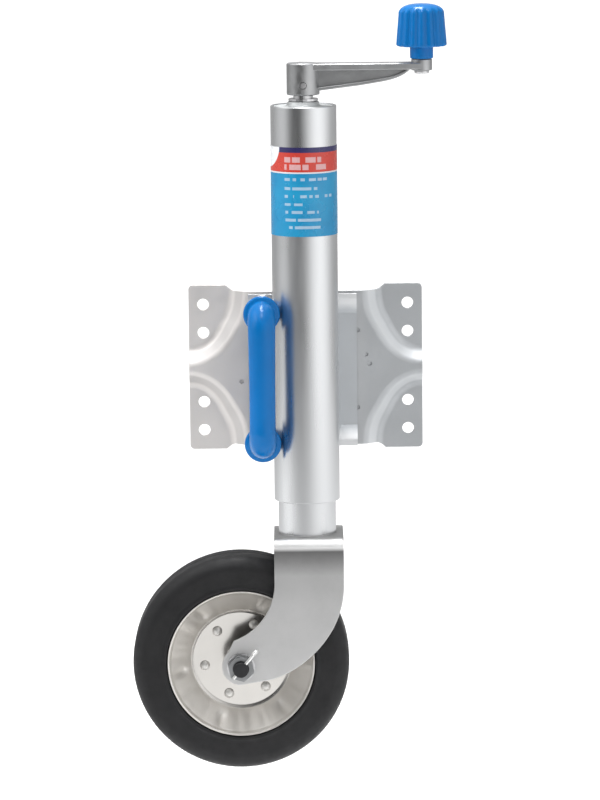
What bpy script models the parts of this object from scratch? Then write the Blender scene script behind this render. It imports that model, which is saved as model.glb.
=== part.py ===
"""Swing-up trailer jack with a solid-tyred jockey wheel.

The origin is the centre of the bracket's eight bolt holes, in the bracket's back plane. +X runs to the
right along the bracket, +Z runs up the jack, and -Y runs from the bracket to the user. The jack is drawn
standing, with the lock handle home, the leg 30 mm out of its fully raised stop and the crank arm over +X.
"""

import math

import bmesh
import bpy
from mathutils import Matrix, Vector
from mathutils.geometry import interpolate_bezier

MM = 0.001
GAP = 0.3 * MM

# Driving dimensions: bracket
PLATE_HALF_WIDTH = 108.5 * MM
PLATE_HALF_HEIGHT = 77.0 * MM
PLATE_MID_HALF_HEIGHT = 72.0 * MM
PLATE_THICK = 4.0 * MM
PLATE_RISE = 11.0 * MM
PLATE_CORNER_RADIUS = 4.0 * MM
BOLT_HOLE_RADIUS = 5.5 * MM
BOLT_COLUMN = 95.0 * MM
BOLT_ROWS = (32.5 * MM, 59.0 * MM)

# Driving dimensions: swivel plate and its pivot
SWIVEL_LEFT = -53.0 * MM
SWIVEL_RIGHT = 47.5 * MM
SWIVEL_HALF_HEIGHT = 71.0 * MM
SWIVEL_THICK = 4.0 * MM
SWIVEL_STANDOFF = 1.3 * MM
SWIVEL_JOGGLE = 8.1 * MM
JOGGLE_START = 52.5 * MM
JOGGLE_END = 66.0 * MM
PIVOT_RADIUS = 8.0 * MM
HEX_16_FLATS = 24.0 * MM

# Driving dimensions: tubes, screw and its bearing
TUBE_Y = -59.0 * MM
TUBE_RADIUS = 30.15 * MM
TUBE_BORE = 27.85 * MM
TUBE_BOTTOM = -115.0 * MM
TUBE_TOP = 249.0 * MM
LEG_RADIUS = 26.5 * MM
LEG_BORE = 23.5 * MM
LEG_TOP = 180.0 * MM
SCREW_RADIUS = 10.0 * MM
SCREW_BOTTOM = -45.0 * MM
SCREW_NECK_RADIUS = 9.0 * MM
SCREW_TOP_RADIUS = 8.0 * MM
BEARING_RADIUS = 20.0 * MM
COLLAR_PIN_Z = 224.0 * MM
COLLAR_PIN_RADIUS = 2.5 * MM

# Driving dimensions: crank and knob
HUB_RADIUS = 15.0 * MM
HUB_BOTTOM = 258.3 * MM
ARM_TOP = 287.3 * MM
ARM_FLANGE = 6.5 * MM
ARM_REACH = 108.0 * MM
CRANK_PIN_Z = 267.5 * MM
CRANK_PIN_RADIUS = 3.0 * MM
STUD_RADIUS = 4.0 * MM
STUD_TOP = 326.0 * MM
KNOB_RADIUS = 23.0 * MM
KNOB_BOTTOM = 301.5 * MM
KNOB_TOP = 340.0 * MM
KNOB_FLUTES = 16

# Driving dimensions: lock handle
HANDLE_X = -40.0 * MM
HANDLE_HALF_SPAN = 60.0 * MM
GRIP_Y = -99.5 * MM
GRIP_RADIUS = 12.5 * MM
PIN_RADIUS = 5.0 * MM
HOUSING_RADIUS = 9.0 * MM
LOCKS = (("upper", HANDLE_HALF_SPAN), ("lower", -HANDLE_HALF_SPAN))

# Driving dimensions: fork and wheel
CROWN_TOP = -146.0 * MM
FORK_HALF_WIDTH = 38.0 * MM
FORK_THICK = 5.0 * MM
WHEEL_X = -62.5 * MM
WHEEL_Z = -265.0 * MM
TYRE_RADIUS = 100.0 * MM
TYRE_HALF_WIDTH = 27.5 * MM
RIVET_CIRCLE = 34.5 * MM
RIVET_COUNT = 6
RIVET_FIRST_ANGLE = 70
AXLE_RADIUS = 7.0 * MM
HEX_14_FLATS = 22.0 * MM
HEX_14_TURN = 42
WASHER_THICK = 1.8 * MM
SPLIT_PIN_OFFSET = 50.6 * MM
SPLIT_PIN_WIRE = 1.5 * MM

Y_AXIS = Matrix.Rotation(math.radians(90), 4, "X")

MATERIALS = {
    "zinc_tube": ((0.55, 0.57, 0.58), 1.0, 0.35),
    "zinc_plate": ((0.48, 0.50, 0.50), 0.9, 0.5),
    "zinc_rim": ((0.66, 0.65, 0.62), 0.9, 0.45),
    "bright_steel": ((0.6, 0.6, 0.6), 1.0, 0.3),
    "black_steel": ((0.03, 0.03, 0.035), 0.6, 0.45),
    "bearing_steel": ((0.7, 0.7, 0.72), 1.0, 0.2),
    "bronze": ((0.6, 0.42, 0.2), 1.0, 0.4),
    "blue_plastic": ((0.0, 0.16, 0.48), 0.0, 0.25),
    "nylon": ((0.8, 0.8, 0.76), 0.0, 0.5),
    "tyre_rubber": ((0.025, 0.025, 0.028), 0.0, 0.75),
    "label_film": ((0.02, 0.35, 0.65), 0.0, 0.35),
}


def make_material(name):
    colour, metallic, roughness = MATERIALS[name]
    material = bpy.data.materials.get(name) or bpy.data.materials.new(name)
    material.use_nodes = True
    shader = material.node_tree.nodes["Principled BSDF"]
    shader.inputs["Base Color"].default_value = (*colour, 1.0)
    shader.inputs["Metallic"].default_value = metallic
    shader.inputs["Roughness"].default_value = roughness
    return material


def make_object(name, vertices, faces, material=None, smooth=True):
    """One closed mesh object, faces turned outward."""
    mesh = bpy.data.meshes.new(name)
    mesh.from_pydata([tuple(v) for v in vertices], [], faces)
    work = bmesh.new()
    work.from_mesh(mesh)
    bmesh.ops.recalc_face_normals(work, faces=work.faces)
    work.to_mesh(mesh)
    work.free()
    if smooth:
        mesh.shade_smooth()
        mesh.set_sharp_from_angle(angle=math.radians(35))
    thing = bpy.data.objects.new(name, mesh)
    bpy.context.scene.collection.objects.link(thing)
    if material:
        mesh.materials.append(make_material(material))
    return thing


def turned(name, profile, segments, place, material=None, ring=False, radius_at=None):
    """A turned piece about its own Z: profile is (radius, height) points, closed on itself for a ring."""
    vertices, rows = [], []
    for radius, height in profile:
        if radius < 1e-9:
            rows.append([len(vertices)] * segments)
            vertices.append(Vector((0, 0, height)))
            continue
        rows.append(list(range(len(vertices), len(vertices) + segments)))
        for step in range(segments):
            angle = 2 * math.pi * step / segments
            reach = radius_at(radius, angle) if radius_at else radius
            vertices.append(Vector((reach * math.cos(angle), reach * math.sin(angle), height)))
    pairs = list(zip(rows, rows[1:]))
    if ring:
        pairs.append((rows[-1], rows[0]))
    faces = []
    for upper, lower in pairs:
        for step in range(segments):
            following = (step + 1) % segments
            loop = [upper[step], upper[following], lower[following], lower[step]]
            corner = list(dict.fromkeys(loop))
            if len(corner) > 2:
                faces.append(corner)
    thing = make_object(name, vertices, faces, material)
    thing.matrix_world = place
    return thing


def along_z(x, y, z=0.0):
    return Matrix.Translation((x, y, z))


def along_y(x, z, y=0.0):
    """Places a turned piece so that its own +Z points to the user, along -Y."""
    return Matrix.Translation((x, y, z)) @ Y_AXIS


def extruded(name, outline, near, far, lay, material=None, smooth=True):
    """A prism: a 2-D outline carried from near to far; lay turns (u, v, depth) into a point."""
    count = len(outline)
    vertices = [lay(u, v, depth) for depth in (near, far) for u, v in outline]
    faces = [list(range(count)), list(range(count, 2 * count))]
    for here in range(count):
        after = (here + 1) % count
        faces.append([here, after, count + after, count + here])
    return make_object(name, vertices, faces, material, smooth)


def lay_xz(u, v, depth):
    return Vector((u, depth, v))


def lay_xy(u, v, depth):
    return Vector((u, v, depth))


def lay_yz(u, v, depth):
    return Vector((depth, u, v))


def arc(centre, radius, start, end, steps):
    """Points of a circular arc, both ends included, angles in degrees."""
    points = []
    for step in range(steps + 1):
        angle = math.radians(start + (end - start) * step / steps)
        points.append((centre[0] + radius * math.cos(angle), centre[1] + radius * math.sin(angle)))
    return points


def bezier(start, handle_a, handle_b, end, count):
    """A 2-D cubic curve as count points, both ends included."""
    flat = [Vector((*point, 0.0)) for point in (start, handle_a, handle_b, end)]
    return [(point.x, point.y) for point in interpolate_bezier(*flat, count)]


def cutter(name, pieces):
    """Joins separate closed meshes into one hidden cutting tool."""
    work = bmesh.new()
    for piece in pieces:
        copy = piece.data.copy()
        copy.transform(piece.matrix_world)
        work.from_mesh(copy)
        bpy.data.objects.remove(piece)
    mesh = bpy.data.meshes.new(name)
    work.to_mesh(mesh)
    work.free()
    tool = bpy.data.objects.new(name, mesh)
    bpy.context.scene.collection.objects.link(tool)
    tool.hide_render = True
    tool.display_type = "WIRE"
    return tool


def boolean(target, tool, operation="DIFFERENCE"):
    step = target.modifiers.new(tool.name, "BOOLEAN")
    step.operation = operation
    step.object = tool
    step.solver = "EXACT"


def rod(name, radius, bottom, top, place, segments, material=None):
    profile = [(0, top), (radius, top), (radius, bottom), (0, bottom)]
    return turned(name, profile, segments, place, material)


def washer(name, bore, radius, bottom, top, place, segments, material):
    profile = [(bore, top), (radius, top), (radius, bottom), (bore, bottom)]
    return turned(name, profile, segments, place, material, ring=True)


def hexagon(flats, centre=(0, 0), turn=0):
    """Six corners of a hexagon across the given flats; its first corner is turn degrees round from +u."""
    return arc(centre, flats / math.sqrt(3), turn, turn + 300, 5)


def mirrored_x(points):
    return [(-x, z) for x, z in points]


def mirrored_z(points):
    return [(x, -z) for x, z in points]


# ---------------------------------------------------------------- bracket

def pad_edge():
    """Foot of the pressed slope round the upper right bolt pad, from the side edge to the top."""
    side = (PLATE_HALF_WIDTH, 16.5 * MM)
    bend = bezier(side, (96 * MM, 16 * MM), (85.5 * MM, 24 * MM), (78.5 * MM, 39 * MM), 7)
    return bend + [(70.5 * MM, 54 * MM), (68.5 * MM, 60 * MM), (68.5 * MM, PLATE_MID_HALF_HEIGHT)]


def crest_edge():
    """Top of the same slope, on the raised middle."""
    side = (PLATE_HALF_WIDTH, 4.5 * MM)
    bend = bezier(side, (92 * MM, 4.5 * MM), (78 * MM, 15 * MM), (69 * MM, 31 * MM), 7)
    return bend + [(58.5 * MM, 49 * MM), (55.5 * MM, 58 * MM), (55.5 * MM, PLATE_MID_HALF_HEIGHT)]


def build_base_plate():
    """Pressed sheet: four bolt pads at the back, and a raised middle that runs to both side edges."""
    foot, crest = pad_edge(), crest_edge()
    corner = arc((PLATE_HALF_WIDTH - PLATE_CORNER_RADIUS, PLATE_HALF_HEIGHT - PLATE_CORNER_RADIUS),
                 PLATE_CORNER_RADIUS, 0, 90, 4)
    step_top = (74.0 * MM, PLATE_HALF_HEIGHT)
    work = bmesh.new()
    seen = {}

    def vertex(x, z, rise):
        key = (round(x, 7), round(z, 7))
        if key not in seen:
            seen[key] = work.verts.new((x, -PLATE_THICK - rise, z))
        return seen[key]

    for side_x in (1, -1):
        for side_z in (1, -1):
            low = [vertex(side_x * x, side_z * z, 0) for x, z in foot]
            high = [vertex(side_x * x, side_z * z, PLATE_RISE) for x, z in crest]
            rim = [vertex(side_x * x, side_z * z, 0) for x, z in corner + [step_top]]
            work.faces.new(low + rim[::-1])
            for here in range(len(low) - 1):
                work.faces.new((low[here], low[here + 1], high[here + 1], high[here]))
    middle = crest + mirrored_x(crest)[::-1] + mirrored_x(mirrored_z(crest)) + mirrored_z(crest)[::-1]
    work.faces.new([vertex(x, z, PLATE_RISE) for x, z in middle])
    front = list(work.faces)
    bmesh.ops.recalc_face_normals(work, faces=front)
    rim_edges = [edge for edge in work.edges if len(edge.link_faces) == 1]
    copied = bmesh.ops.duplicate(work, geom=front + rim_edges)
    partner = copied["vert_map"]
    back = [item for item in copied["geom"] if isinstance(item, bmesh.types.BMFace)]
    for face in back:
        face.normal_flip()
    for point in {vert for face in back for vert in face.verts}:
        point.co.y += PLATE_THICK
    for edge in rim_edges:
        a, b = edge.verts
        work.faces.new((a, b, partner[b], partner[a]))
    bmesh.ops.recalc_face_normals(work, faces=work.faces)
    mesh = bpy.data.meshes.new("base_plate")
    work.to_mesh(mesh)
    work.free()
    plate = bpy.data.objects.new("base_plate", mesh)
    bpy.context.scene.collection.objects.link(plate)
    mesh.materials.append(make_material("zinc_plate"))
    holes = []
    deep, proud = -5 * MM, 25 * MM
    for x in (-BOLT_COLUMN, BOLT_COLUMN):
        for z in (*BOLT_ROWS, *(-row for row in BOLT_ROWS)):
            holes.append(rod("hole", BOLT_HOLE_RADIUS, deep, proud, along_y(x, z), 14))
    for _, z in LOCKS:
        holes.append(rod("hole", PIN_RADIUS + 0.5 * MM, deep, proud, along_y(HANDLE_X, z), 14))
    holes.append(rod("hole", PIVOT_RADIUS + GAP, deep, proud, along_y(0, 0), 24))
    boolean(plate, cutter("plate_holes", holes))


def build_pivot():
    """The pivot bolt stands in the bracket; its nut clamps the swivel plate through a spring washer."""
    outline, place, bore_radius = hexagon(HEX_16_FLATS), along_y(0, 0), PIVOT_RADIUS + GAP
    head = extruded("pivot_bolt", outline, -10.7 * MM, -2.0 * MM, lay_xz, "bright_steel", False)
    shank = rod("shank", PIVOT_RADIUS, 10.0 * MM, 28.3 * MM, place, 24)
    boolean(head, cutter("pivot_shank", [shank]), "UNION")
    washer("pivot_washer", bore_radius, 14.5 * MM, 20.6 * MM, 22.2 * MM, place, 32, "bright_steel")
    nut = extruded("pivot_nut", outline, -27.9 * MM, -22.5 * MM, lay_xz, "bright_steel", False)
    bore = rod("bore", bore_radius, 20 * MM, 30 * MM, place, 24)
    boolean(nut, cutter("pivot_nut_bore", [bore]))


# ---------------------------------------------------------------- swinging part

def swivel_section():
    """Joggled sheet in the YZ plane: the web lies on the bracket, both tabs step out to the tube."""
    back = -PLATE_THICK - PLATE_RISE - SWIVEL_STANDOFF
    tab = back - SWIVEL_JOGGLE
    levels = [(-SWIVEL_HALF_HEIGHT, tab), (-JOGGLE_END, tab), (-JOGGLE_START, back),
              (JOGGLE_START, back), (JOGGLE_END, tab), (SWIVEL_HALF_HEIGHT, tab)]
    rear = [(y, z) for z, y in levels]
    front = [(y - SWIVEL_THICK, z) for z, y in reversed(levels)]
    return rear + front


def build_swivel_plate():
    plate = extruded("swivel_plate", swivel_section(), SWIVEL_LEFT, SWIVEL_RIGHT, lay_yz, "zinc_plate", False)
    holes = [rod("hole", HOUSING_RADIUS + GAP, 10 * MM, 40 * MM, along_y(HANDLE_X, z), 32) for _, z in LOCKS]
    holes.append(rod("hole", PIVOT_RADIUS + GAP, 10 * MM, 40 * MM, along_y(0, 0), 24))
    boolean(plate, cutter("swivel_holes", holes))


def build_lock_units():
    """Two sprung lock pins in welded housings, one at each end of the handle."""
    back, front = 17.0 * MM, 54.0 * MM
    pin_bore, spring_bore = PIN_RADIUS + GAP, 6.8 * MM
    floor, shoulder = back + 3.0 * MM, 6.4 * MM
    for word, z in LOCKS:
        place = along_y(HANDLE_X, z)
        housing = [(HOUSING_RADIUS, front), (HOUSING_RADIUS, back), (pin_bore, back), (pin_bore, floor),
                   (spring_bore, floor), (spring_bore, front)]
        turned(f"pin_housing_{word}", housing, 20, place, "zinc_plate", ring=True)
        bush_radius = spring_bore - GAP
        washer(f"pin_bush_{word}", pin_bore, bush_radius, front - 4.5 * MM, front - GAP, place, 16, "nylon")
        pin = [(0, 66.0 * MM), (PIN_RADIUS, 66.0 * MM), (PIN_RADIUS, 23.5 * MM), (shoulder, 23.5 * MM),
               (shoulder, 20.5 * MM), (PIN_RADIUS, 20.5 * MM), (PIN_RADIUS, 17.5 * MM), (4.2 * MM, 15.6 * MM),
               (0, 15.6 * MM)]
        turned(f"lock_pin_{word}", pin, 16, place, "bright_steel")
        build_spring(f"pin_spring_{word}", 5.95 * MM, 0.4 * MM, 24.2 * MM, 48.9 * MM, place)


def build_spring(name, mean_radius, wire_radius, bottom, top, place):
    """A round-wire helix with flat capped ends, about the own Z of place."""
    turns, steps_per_turn, sides = 7, 8, 4
    steps = turns * steps_per_turn
    vertices = []
    lift = (top - bottom - 2 * wire_radius) / steps
    for step in range(steps + 1):
        angle = 2 * math.pi * step / steps_per_turn
        outward = Vector((math.cos(angle), math.sin(angle), 0))
        centre = mean_radius * outward + Vector((0, 0, bottom + wire_radius + lift * step))
        for side in range(sides):
            turn = 2 * math.pi * side / sides
            reach = math.cos(turn) * outward + math.sin(turn) * Vector((0, 0, 1))
            vertices.append(centre + wire_radius * reach)
    spring = make_object(name, vertices, tube_faces(steps + 1, sides), "bright_steel")
    spring.matrix_world = place


def tube_faces(rings, sides):
    """Faces of a tube whose vertices lie ring after ring, with both ends closed."""
    faces = []
    for ring in range(rings - 1):
        for side in range(sides):
            after = (side + 1) % sides
            here, there = ring * sides, (ring + 1) * sides
            faces.append([here + side, here + after, there + after, there + side])
    faces.append(list(range(sides)))
    faces.append(list(range((rings - 1) * sides, rings * sides)))
    return faces


def build_handle():
    """D-shaped moulded handle: straight legs with broad collars, tight elbows and a round grip."""
    leg_radius, collar_radius, bend = 9.0 * MM, 16.8 * MM, 14.0 * MM
    collar_back, collar_front = 79.2 * MM, 84.4 * MM
    start, elbow = 54.4 * MM, -GRIP_Y - bend
    stations = [(start, leg_radius), (collar_back, leg_radius), (collar_back, collar_radius - 1 * MM),
                (collar_back + 1 * MM, collar_radius), (collar_front - 1 * MM, collar_radius),
                (collar_front, collar_radius - 1.5 * MM), (collar_front + 0.5 * MM, GRIP_RADIUS + 0.6 * MM)]
    forward = Vector((0, -1, 0))
    path = [(Vector((HANDLE_X, -out, HANDLE_HALF_SPAN)), forward, radius) for out, radius in stations]
    steps = 5
    for step in range(steps + 1):
        angle = math.radians(90 * step / steps)
        out, drop = elbow + bend * math.sin(angle), bend * (1 - math.cos(angle))
        direction = Vector((0, -math.cos(angle), -math.sin(angle)))
        path.append((Vector((HANDLE_X, -out, HANDLE_HALF_SPAN - drop)), direction, GRIP_RADIUS))
    lower = [(Vector((p.x, p.y, -p.z)), Vector((0, -d.y, d.z)), radius) for p, d, radius in reversed(path)]
    sides, vertices = 18, []
    across = Vector((1, 0, 0))
    for point, direction, radius in path + lower:
        up = direction.cross(across)
        for side in range(sides):
            turn = 2 * math.pi * side / sides
            vertices.append(point + radius * (math.cos(turn) * across + math.sin(turn) * up))
    handle = make_object("lock_handle", vertices, tube_faces(len(path + lower), sides), "blue_plastic")
    bore_radius = PIN_RADIUS + GAP
    sockets = [rod("socket", bore_radius, 50 * MM, 66.3 * MM, along_y(HANDLE_X, z), 24) for _, z in LOCKS]
    boolean(handle, cutter("handle_sockets", sockets))


def build_outer_tube():
    place, bevel = along_z(0, TUBE_Y), 0.8 * MM
    profile = [(TUBE_BORE, TUBE_TOP), (TUBE_RADIUS - bevel, TUBE_TOP), (TUBE_RADIUS, TUBE_TOP - bevel),
               (TUBE_RADIUS, TUBE_BOTTOM), (TUBE_BORE, TUBE_BOTTOM)]
    turned("outer_tube", profile, 48, place, "zinc_tube", ring=True)
    bore, edge, top, bottom = SCREW_NECK_RADIUS + GAP, TUBE_BORE - GAP, 252.5 * MM, 241.0 * MM
    cap = [(bore, top), (14.0 * MM, top), (15.5 * MM, top - 4.0 * MM), (edge, top - 4.5 * MM),
           (edge, bottom), (bore, bottom)]
    turned("tube_cap", cap, 36, place, "zinc_plate", ring=True)
    washer("guide_sleeve", LEG_RADIUS + GAP, TUBE_BORE - GAP, TUBE_BOTTOM + 1 * MM, TUBE_BOTTOM + 36 * MM,
           place, 36, "nylon")


def build_label():
    """A printed film wrapped round the front of the tube."""
    inner, outer = TUBE_RADIUS + GAP, TUBE_RADIUS + GAP + 0.2 * MM
    bottom, top = 131.5 * MM, 212.8 * MM
    outline = arc((0, TUBE_Y), outer, -205, 25, 36) + arc((0, TUBE_Y), inner, 25, -205, 36)
    extruded("label", outline, bottom, top, lay_xy, "label_film")


# ---------------------------------------------------------------- crank

def build_screw():
    """Lead screw with its neck in the tube cap, hung on a collar under the thrust bearing."""
    place = along_z(0, TUBE_Y)
    neck_bottom, neck_top, top, bevel = 216.0 * MM, 257.5 * MM, 280.0 * MM, 1.0 * MM
    profile = [(0, top), (SCREW_TOP_RADIUS - bevel, top), (SCREW_TOP_RADIUS, top - bevel),
               (SCREW_TOP_RADIUS, neck_top), (SCREW_NECK_RADIUS, neck_top), (SCREW_NECK_RADIUS, neck_bottom),
               (SCREW_RADIUS, neck_bottom), (SCREW_RADIUS, SCREW_BOTTOM + 2 * bevel),
               (SCREW_RADIUS - 2 * bevel, SCREW_BOTTOM), (0, SCREW_BOTTOM)]
    screw = turned("lead_screw", profile, 32, place, "bright_steel")
    boolean(screw, cutter("screw_pin_holes", [crank_pin_bore(), collar_pin_bore()]))
    bore = SCREW_NECK_RADIUS + GAP
    washer("bearing_race_upper", bore, BEARING_RADIUS, 238.7 * MM, 240.7 * MM, place, 24, "bearing_steel")
    ball_ring = arc((14.5 * MM, 236.0 * MM), 2.4 * MM, 0, 300, 5)
    turned("bearing_ball_ring", ball_ring, 24, place, "bearing_steel", ring=True)
    washer("bearing_race_lower", bore, BEARING_RADIUS, 231.3 * MM, 233.3 * MM, place, 24, "bearing_steel")
    collar = washer("thrust_collar", bore, 18 * MM, 217.0 * MM, 231.0 * MM, place, 24, "bright_steel")
    boolean(collar, cutter("collar_pin_hole", [collar_pin_bore()]))
    collar_pin_place = along_y(0, COLLAR_PIN_Z, TUBE_Y)
    rod("collar_pin", COLLAR_PIN_RADIUS, -17.5 * MM, 17.5 * MM, collar_pin_place, 16, "bright_steel")
    crank_pin_place = along_y(0, CRANK_PIN_Z, TUBE_Y)
    rod("crank_pin", CRANK_PIN_RADIUS, -14.2 * MM, 14.2 * MM, crank_pin_place, 16, "bright_steel")
    washer("hub_washer", bore, 13.5 * MM, 253.0 * MM, 255.0 * MM, place, 24, "bright_steel")


def crank_pin_bore():
    return rod("bore", CRANK_PIN_RADIUS + GAP, -20 * MM, 20 * MM, along_y(0, CRANK_PIN_Z, TUBE_Y), 16)


def collar_pin_bore():
    return rod("bore", COLLAR_PIN_RADIUS + GAP, -20 * MM, 20 * MM, along_y(0, COLLAR_PIN_Z, TUBE_Y), 16)


def arm_underside():
    """Lower edge of the arm from the hub to the tip, as (x, z): nearly straight, then swept up."""
    straight = [(0.0, 260.5 * MM), (50 * MM, 266.5 * MM)]
    return straight + bezier((70 * MM, 269.6 * MM), (84 * MM, 272 * MM), (92 * MM, 275 * MM),
                             (98 * MM, 281.5 * MM), 5)


def build_crank():
    """Cast crank: a hub, a T-section arm whose underside has a narrow rim, and a boss for the knob."""
    place, bevel = along_z(0, TUBE_Y), 1 * MM
    hub = [(0, ARM_TOP), (HUB_RADIUS - bevel, ARM_TOP), (HUB_RADIUS, ARM_TOP - bevel),
           (HUB_RADIUS, HUB_BOTTOM + bevel), (HUB_RADIUS - bevel, HUB_BOTTOM), (0, HUB_BOTTOM)]
    crank = turned("crank_arm", hub, 32, place, "zinc_plate")
    flange_bottom = ARM_TOP - ARM_FLANGE
    root_half, tip_half = 12.0 * MM, 9.5 * MM
    plan = [(0, TUBE_Y - root_half), (ARM_REACH, TUBE_Y - tip_half)]
    plan += arc((ARM_REACH, TUBE_Y), tip_half, -80, 80, 8)
    plan += [(ARM_REACH, TUBE_Y + tip_half), (0, TUBE_Y + root_half)]
    flange = extruded("flange", plan, flange_bottom, ARM_TOP - 0.5 * MM, lay_xy)
    under = arm_underside()
    roof = flange_bottom + 1 * MM
    web = extruded("web", under + [(98 * MM, roof), (0, roof)], TUBE_Y - 3 * MM, TUBE_Y + 3 * MM, lay_xz)
    rim_top = [(x, z + 3.0 * MM) for x, z in reversed(under)]
    rim = extruded("rim", under + rim_top, TUBE_Y - 7 * MM, TUBE_Y + 7 * MM, lay_xz)
    boss = rod("boss", 9.5 * MM, 279.5 * MM, 289.8 * MM, along_z(ARM_REACH, TUBE_Y), 28)
    for name, piece in (("arm_flange", flange), ("arm_web", web), ("arm_rim", rim), ("arm_boss", boss)):
        boolean(crank, cutter(name, [piece]), "UNION")
    screw_bore = rod("bore", SCREW_TOP_RADIUS + GAP, 250 * MM, 280.3 * MM, place, 28)
    stud_bore = rod("bore", STUD_RADIUS + GAP, 270 * MM, 300 * MM, along_z(ARM_REACH, TUBE_Y), 20)
    for name, bore in (("screw_bore", screw_bore), ("stud_bore", stud_bore), ("pin_bore", crank_pin_bore())):
        boolean(crank, cutter(name, [bore]))


def build_knob():
    """Fluted knob that spins on a stud riveted into the arm's boss."""
    place = along_z(ARM_REACH, TUBE_Y)
    rivet_radius, rivet_top, rivet_bottom = 7.0 * MM, 279.2 * MM, 276.0 * MM
    stud = [(0, STUD_TOP), (STUD_RADIUS, STUD_TOP), (STUD_RADIUS, rivet_top), (rivet_radius, rivet_top),
            (rivet_radius - 1 * MM, rivet_bottom + 0.5 * MM), (0, rivet_bottom)]
    turned("knob_stud", stud, 20, place, "bright_steel")
    bore, collar, collar_bottom = STUD_RADIUS + GAP, 10.6 * MM, 290.3 * MM
    bore_top, depth, dome = STUD_TOP + 0.4 * MM, 1.1 * MM, 10.0 * MM
    shoulder, shoulder_z = 20.8 * MM, KNOB_TOP - dome
    profile = [(0, KNOB_TOP)]
    for degrees in (75, 55, 35, 15):
        angle = math.radians(degrees)
        profile.append((shoulder * math.cos(angle) ** 0.7, shoulder_z + dome * math.sin(angle)))
    profile += [(shoulder, shoulder_z - 2 * MM), (21.9 * MM, 315 * MM), (KNOB_RADIUS, KNOB_BOTTOM + 1 * MM),
                (KNOB_RADIUS - 1 * MM, KNOB_BOTTOM), (collar, KNOB_BOTTOM), (collar, collar_bottom),
                (bore, collar_bottom), (bore, bore_top), (0, bore_top)]

    def fluted(radius, angle):
        if radius < shoulder - 0.1 * MM:
            return radius
        return radius - depth * (0.5 - 0.5 * math.cos(KNOB_FLUTES * angle))

    turned("crank_knob", profile, KNOB_FLUTES * 3, place, "blue_plastic", radius_at=fluted)


# ---------------------------------------------------------------- leg, fork and wheel

def build_leg():
    place = along_z(0, TUBE_Y)
    top = LEG_TOP - 2 * MM
    washer("lead_nut", SCREW_RADIUS + GAP, LEG_BORE - GAP, top - 25 * MM, top, place, 32, "bronze")
    washer("inner_tube", LEG_BORE, LEG_RADIUS, CROWN_TOP + GAP, LEG_TOP, place, 40, "zinc_tube")


def leg_outline():
    """Front view of a fork leg: straight down, then swept back and round the axle's end."""
    axle = (WHEEL_X, WHEEL_Z)
    left = bezier((-31 * MM, -190 * MM), (-32 * MM, -212 * MM),
                  (-46 * MM, -233 * MM), (-69 * MM, -241 * MM), 9)
    end = arc(axle, 17.5 * MM, 130, 265, 8)
    right = bezier((-46 * MM, -279.5 * MM), (-12 * MM, -277 * MM),
                   (33 * MM, -240 * MM), (33 * MM, -190 * MM), 12)
    top = CROWN_TOP + 10 * MM
    return [(-31 * MM, top)] + left + end + right + [(33 * MM, top)]


def build_fork():
    """One bent strap: a level crown over the tyre and two legs, cut to the leg outline."""
    bend, low = 9.0 * MM, WHEEL_Z - 40 * MM
    half, inner = FORK_HALF_WIDTH, FORK_HALF_WIDTH - FORK_THICK
    top = CROWN_TOP
    outside = [(TUBE_Y - half, low)]
    outside += arc((TUBE_Y - half + bend, top - bend), bend, 180, 90, 6)
    outside += arc((TUBE_Y + half - bend, top - bend), bend, 90, 0, 6) + [(TUBE_Y + half, low)]
    inside = [(TUBE_Y + inner, low)]
    inside += arc((TUBE_Y + half - bend, top - bend), bend - FORK_THICK, 0, 90, 6)
    inside += arc((TUBE_Y - half + bend, top - bend), bend - FORK_THICK, 90, 180, 6) + [(TUBE_Y - inner, low)]
    fork = extruded("fork", outside + inside, -120 * MM, 60 * MM, lay_yz, "zinc_plate")
    blank = extruded("blank", leg_outline(), TUBE_Y - 60 * MM, TUBE_Y + 60 * MM, lay_xz)
    boolean(fork, cutter("fork_outline", [blank]), "INTERSECT")
    hole = rod("hole", AXLE_RADIUS + GAP, -60 * MM, 60 * MM, wheel_place(), 28)
    boolean(fork, cutter("fork_axle_holes", [hole]))


def wheel_place():
    """On the wheel's centre, with the own +Z along the axle to the user."""
    return along_y(WHEEL_X, WHEEL_Z, TUBE_Y)


def split_pin_place():
    """On the axle's centre line near its front end, with the own +Z slanting up to the right."""
    spot = Matrix.Translation((WHEEL_X, TUBE_Y - SPLIT_PIN_OFFSET, WHEEL_Z))
    return spot @ Matrix.Rotation(math.radians(40), 4, "Y")


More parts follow.
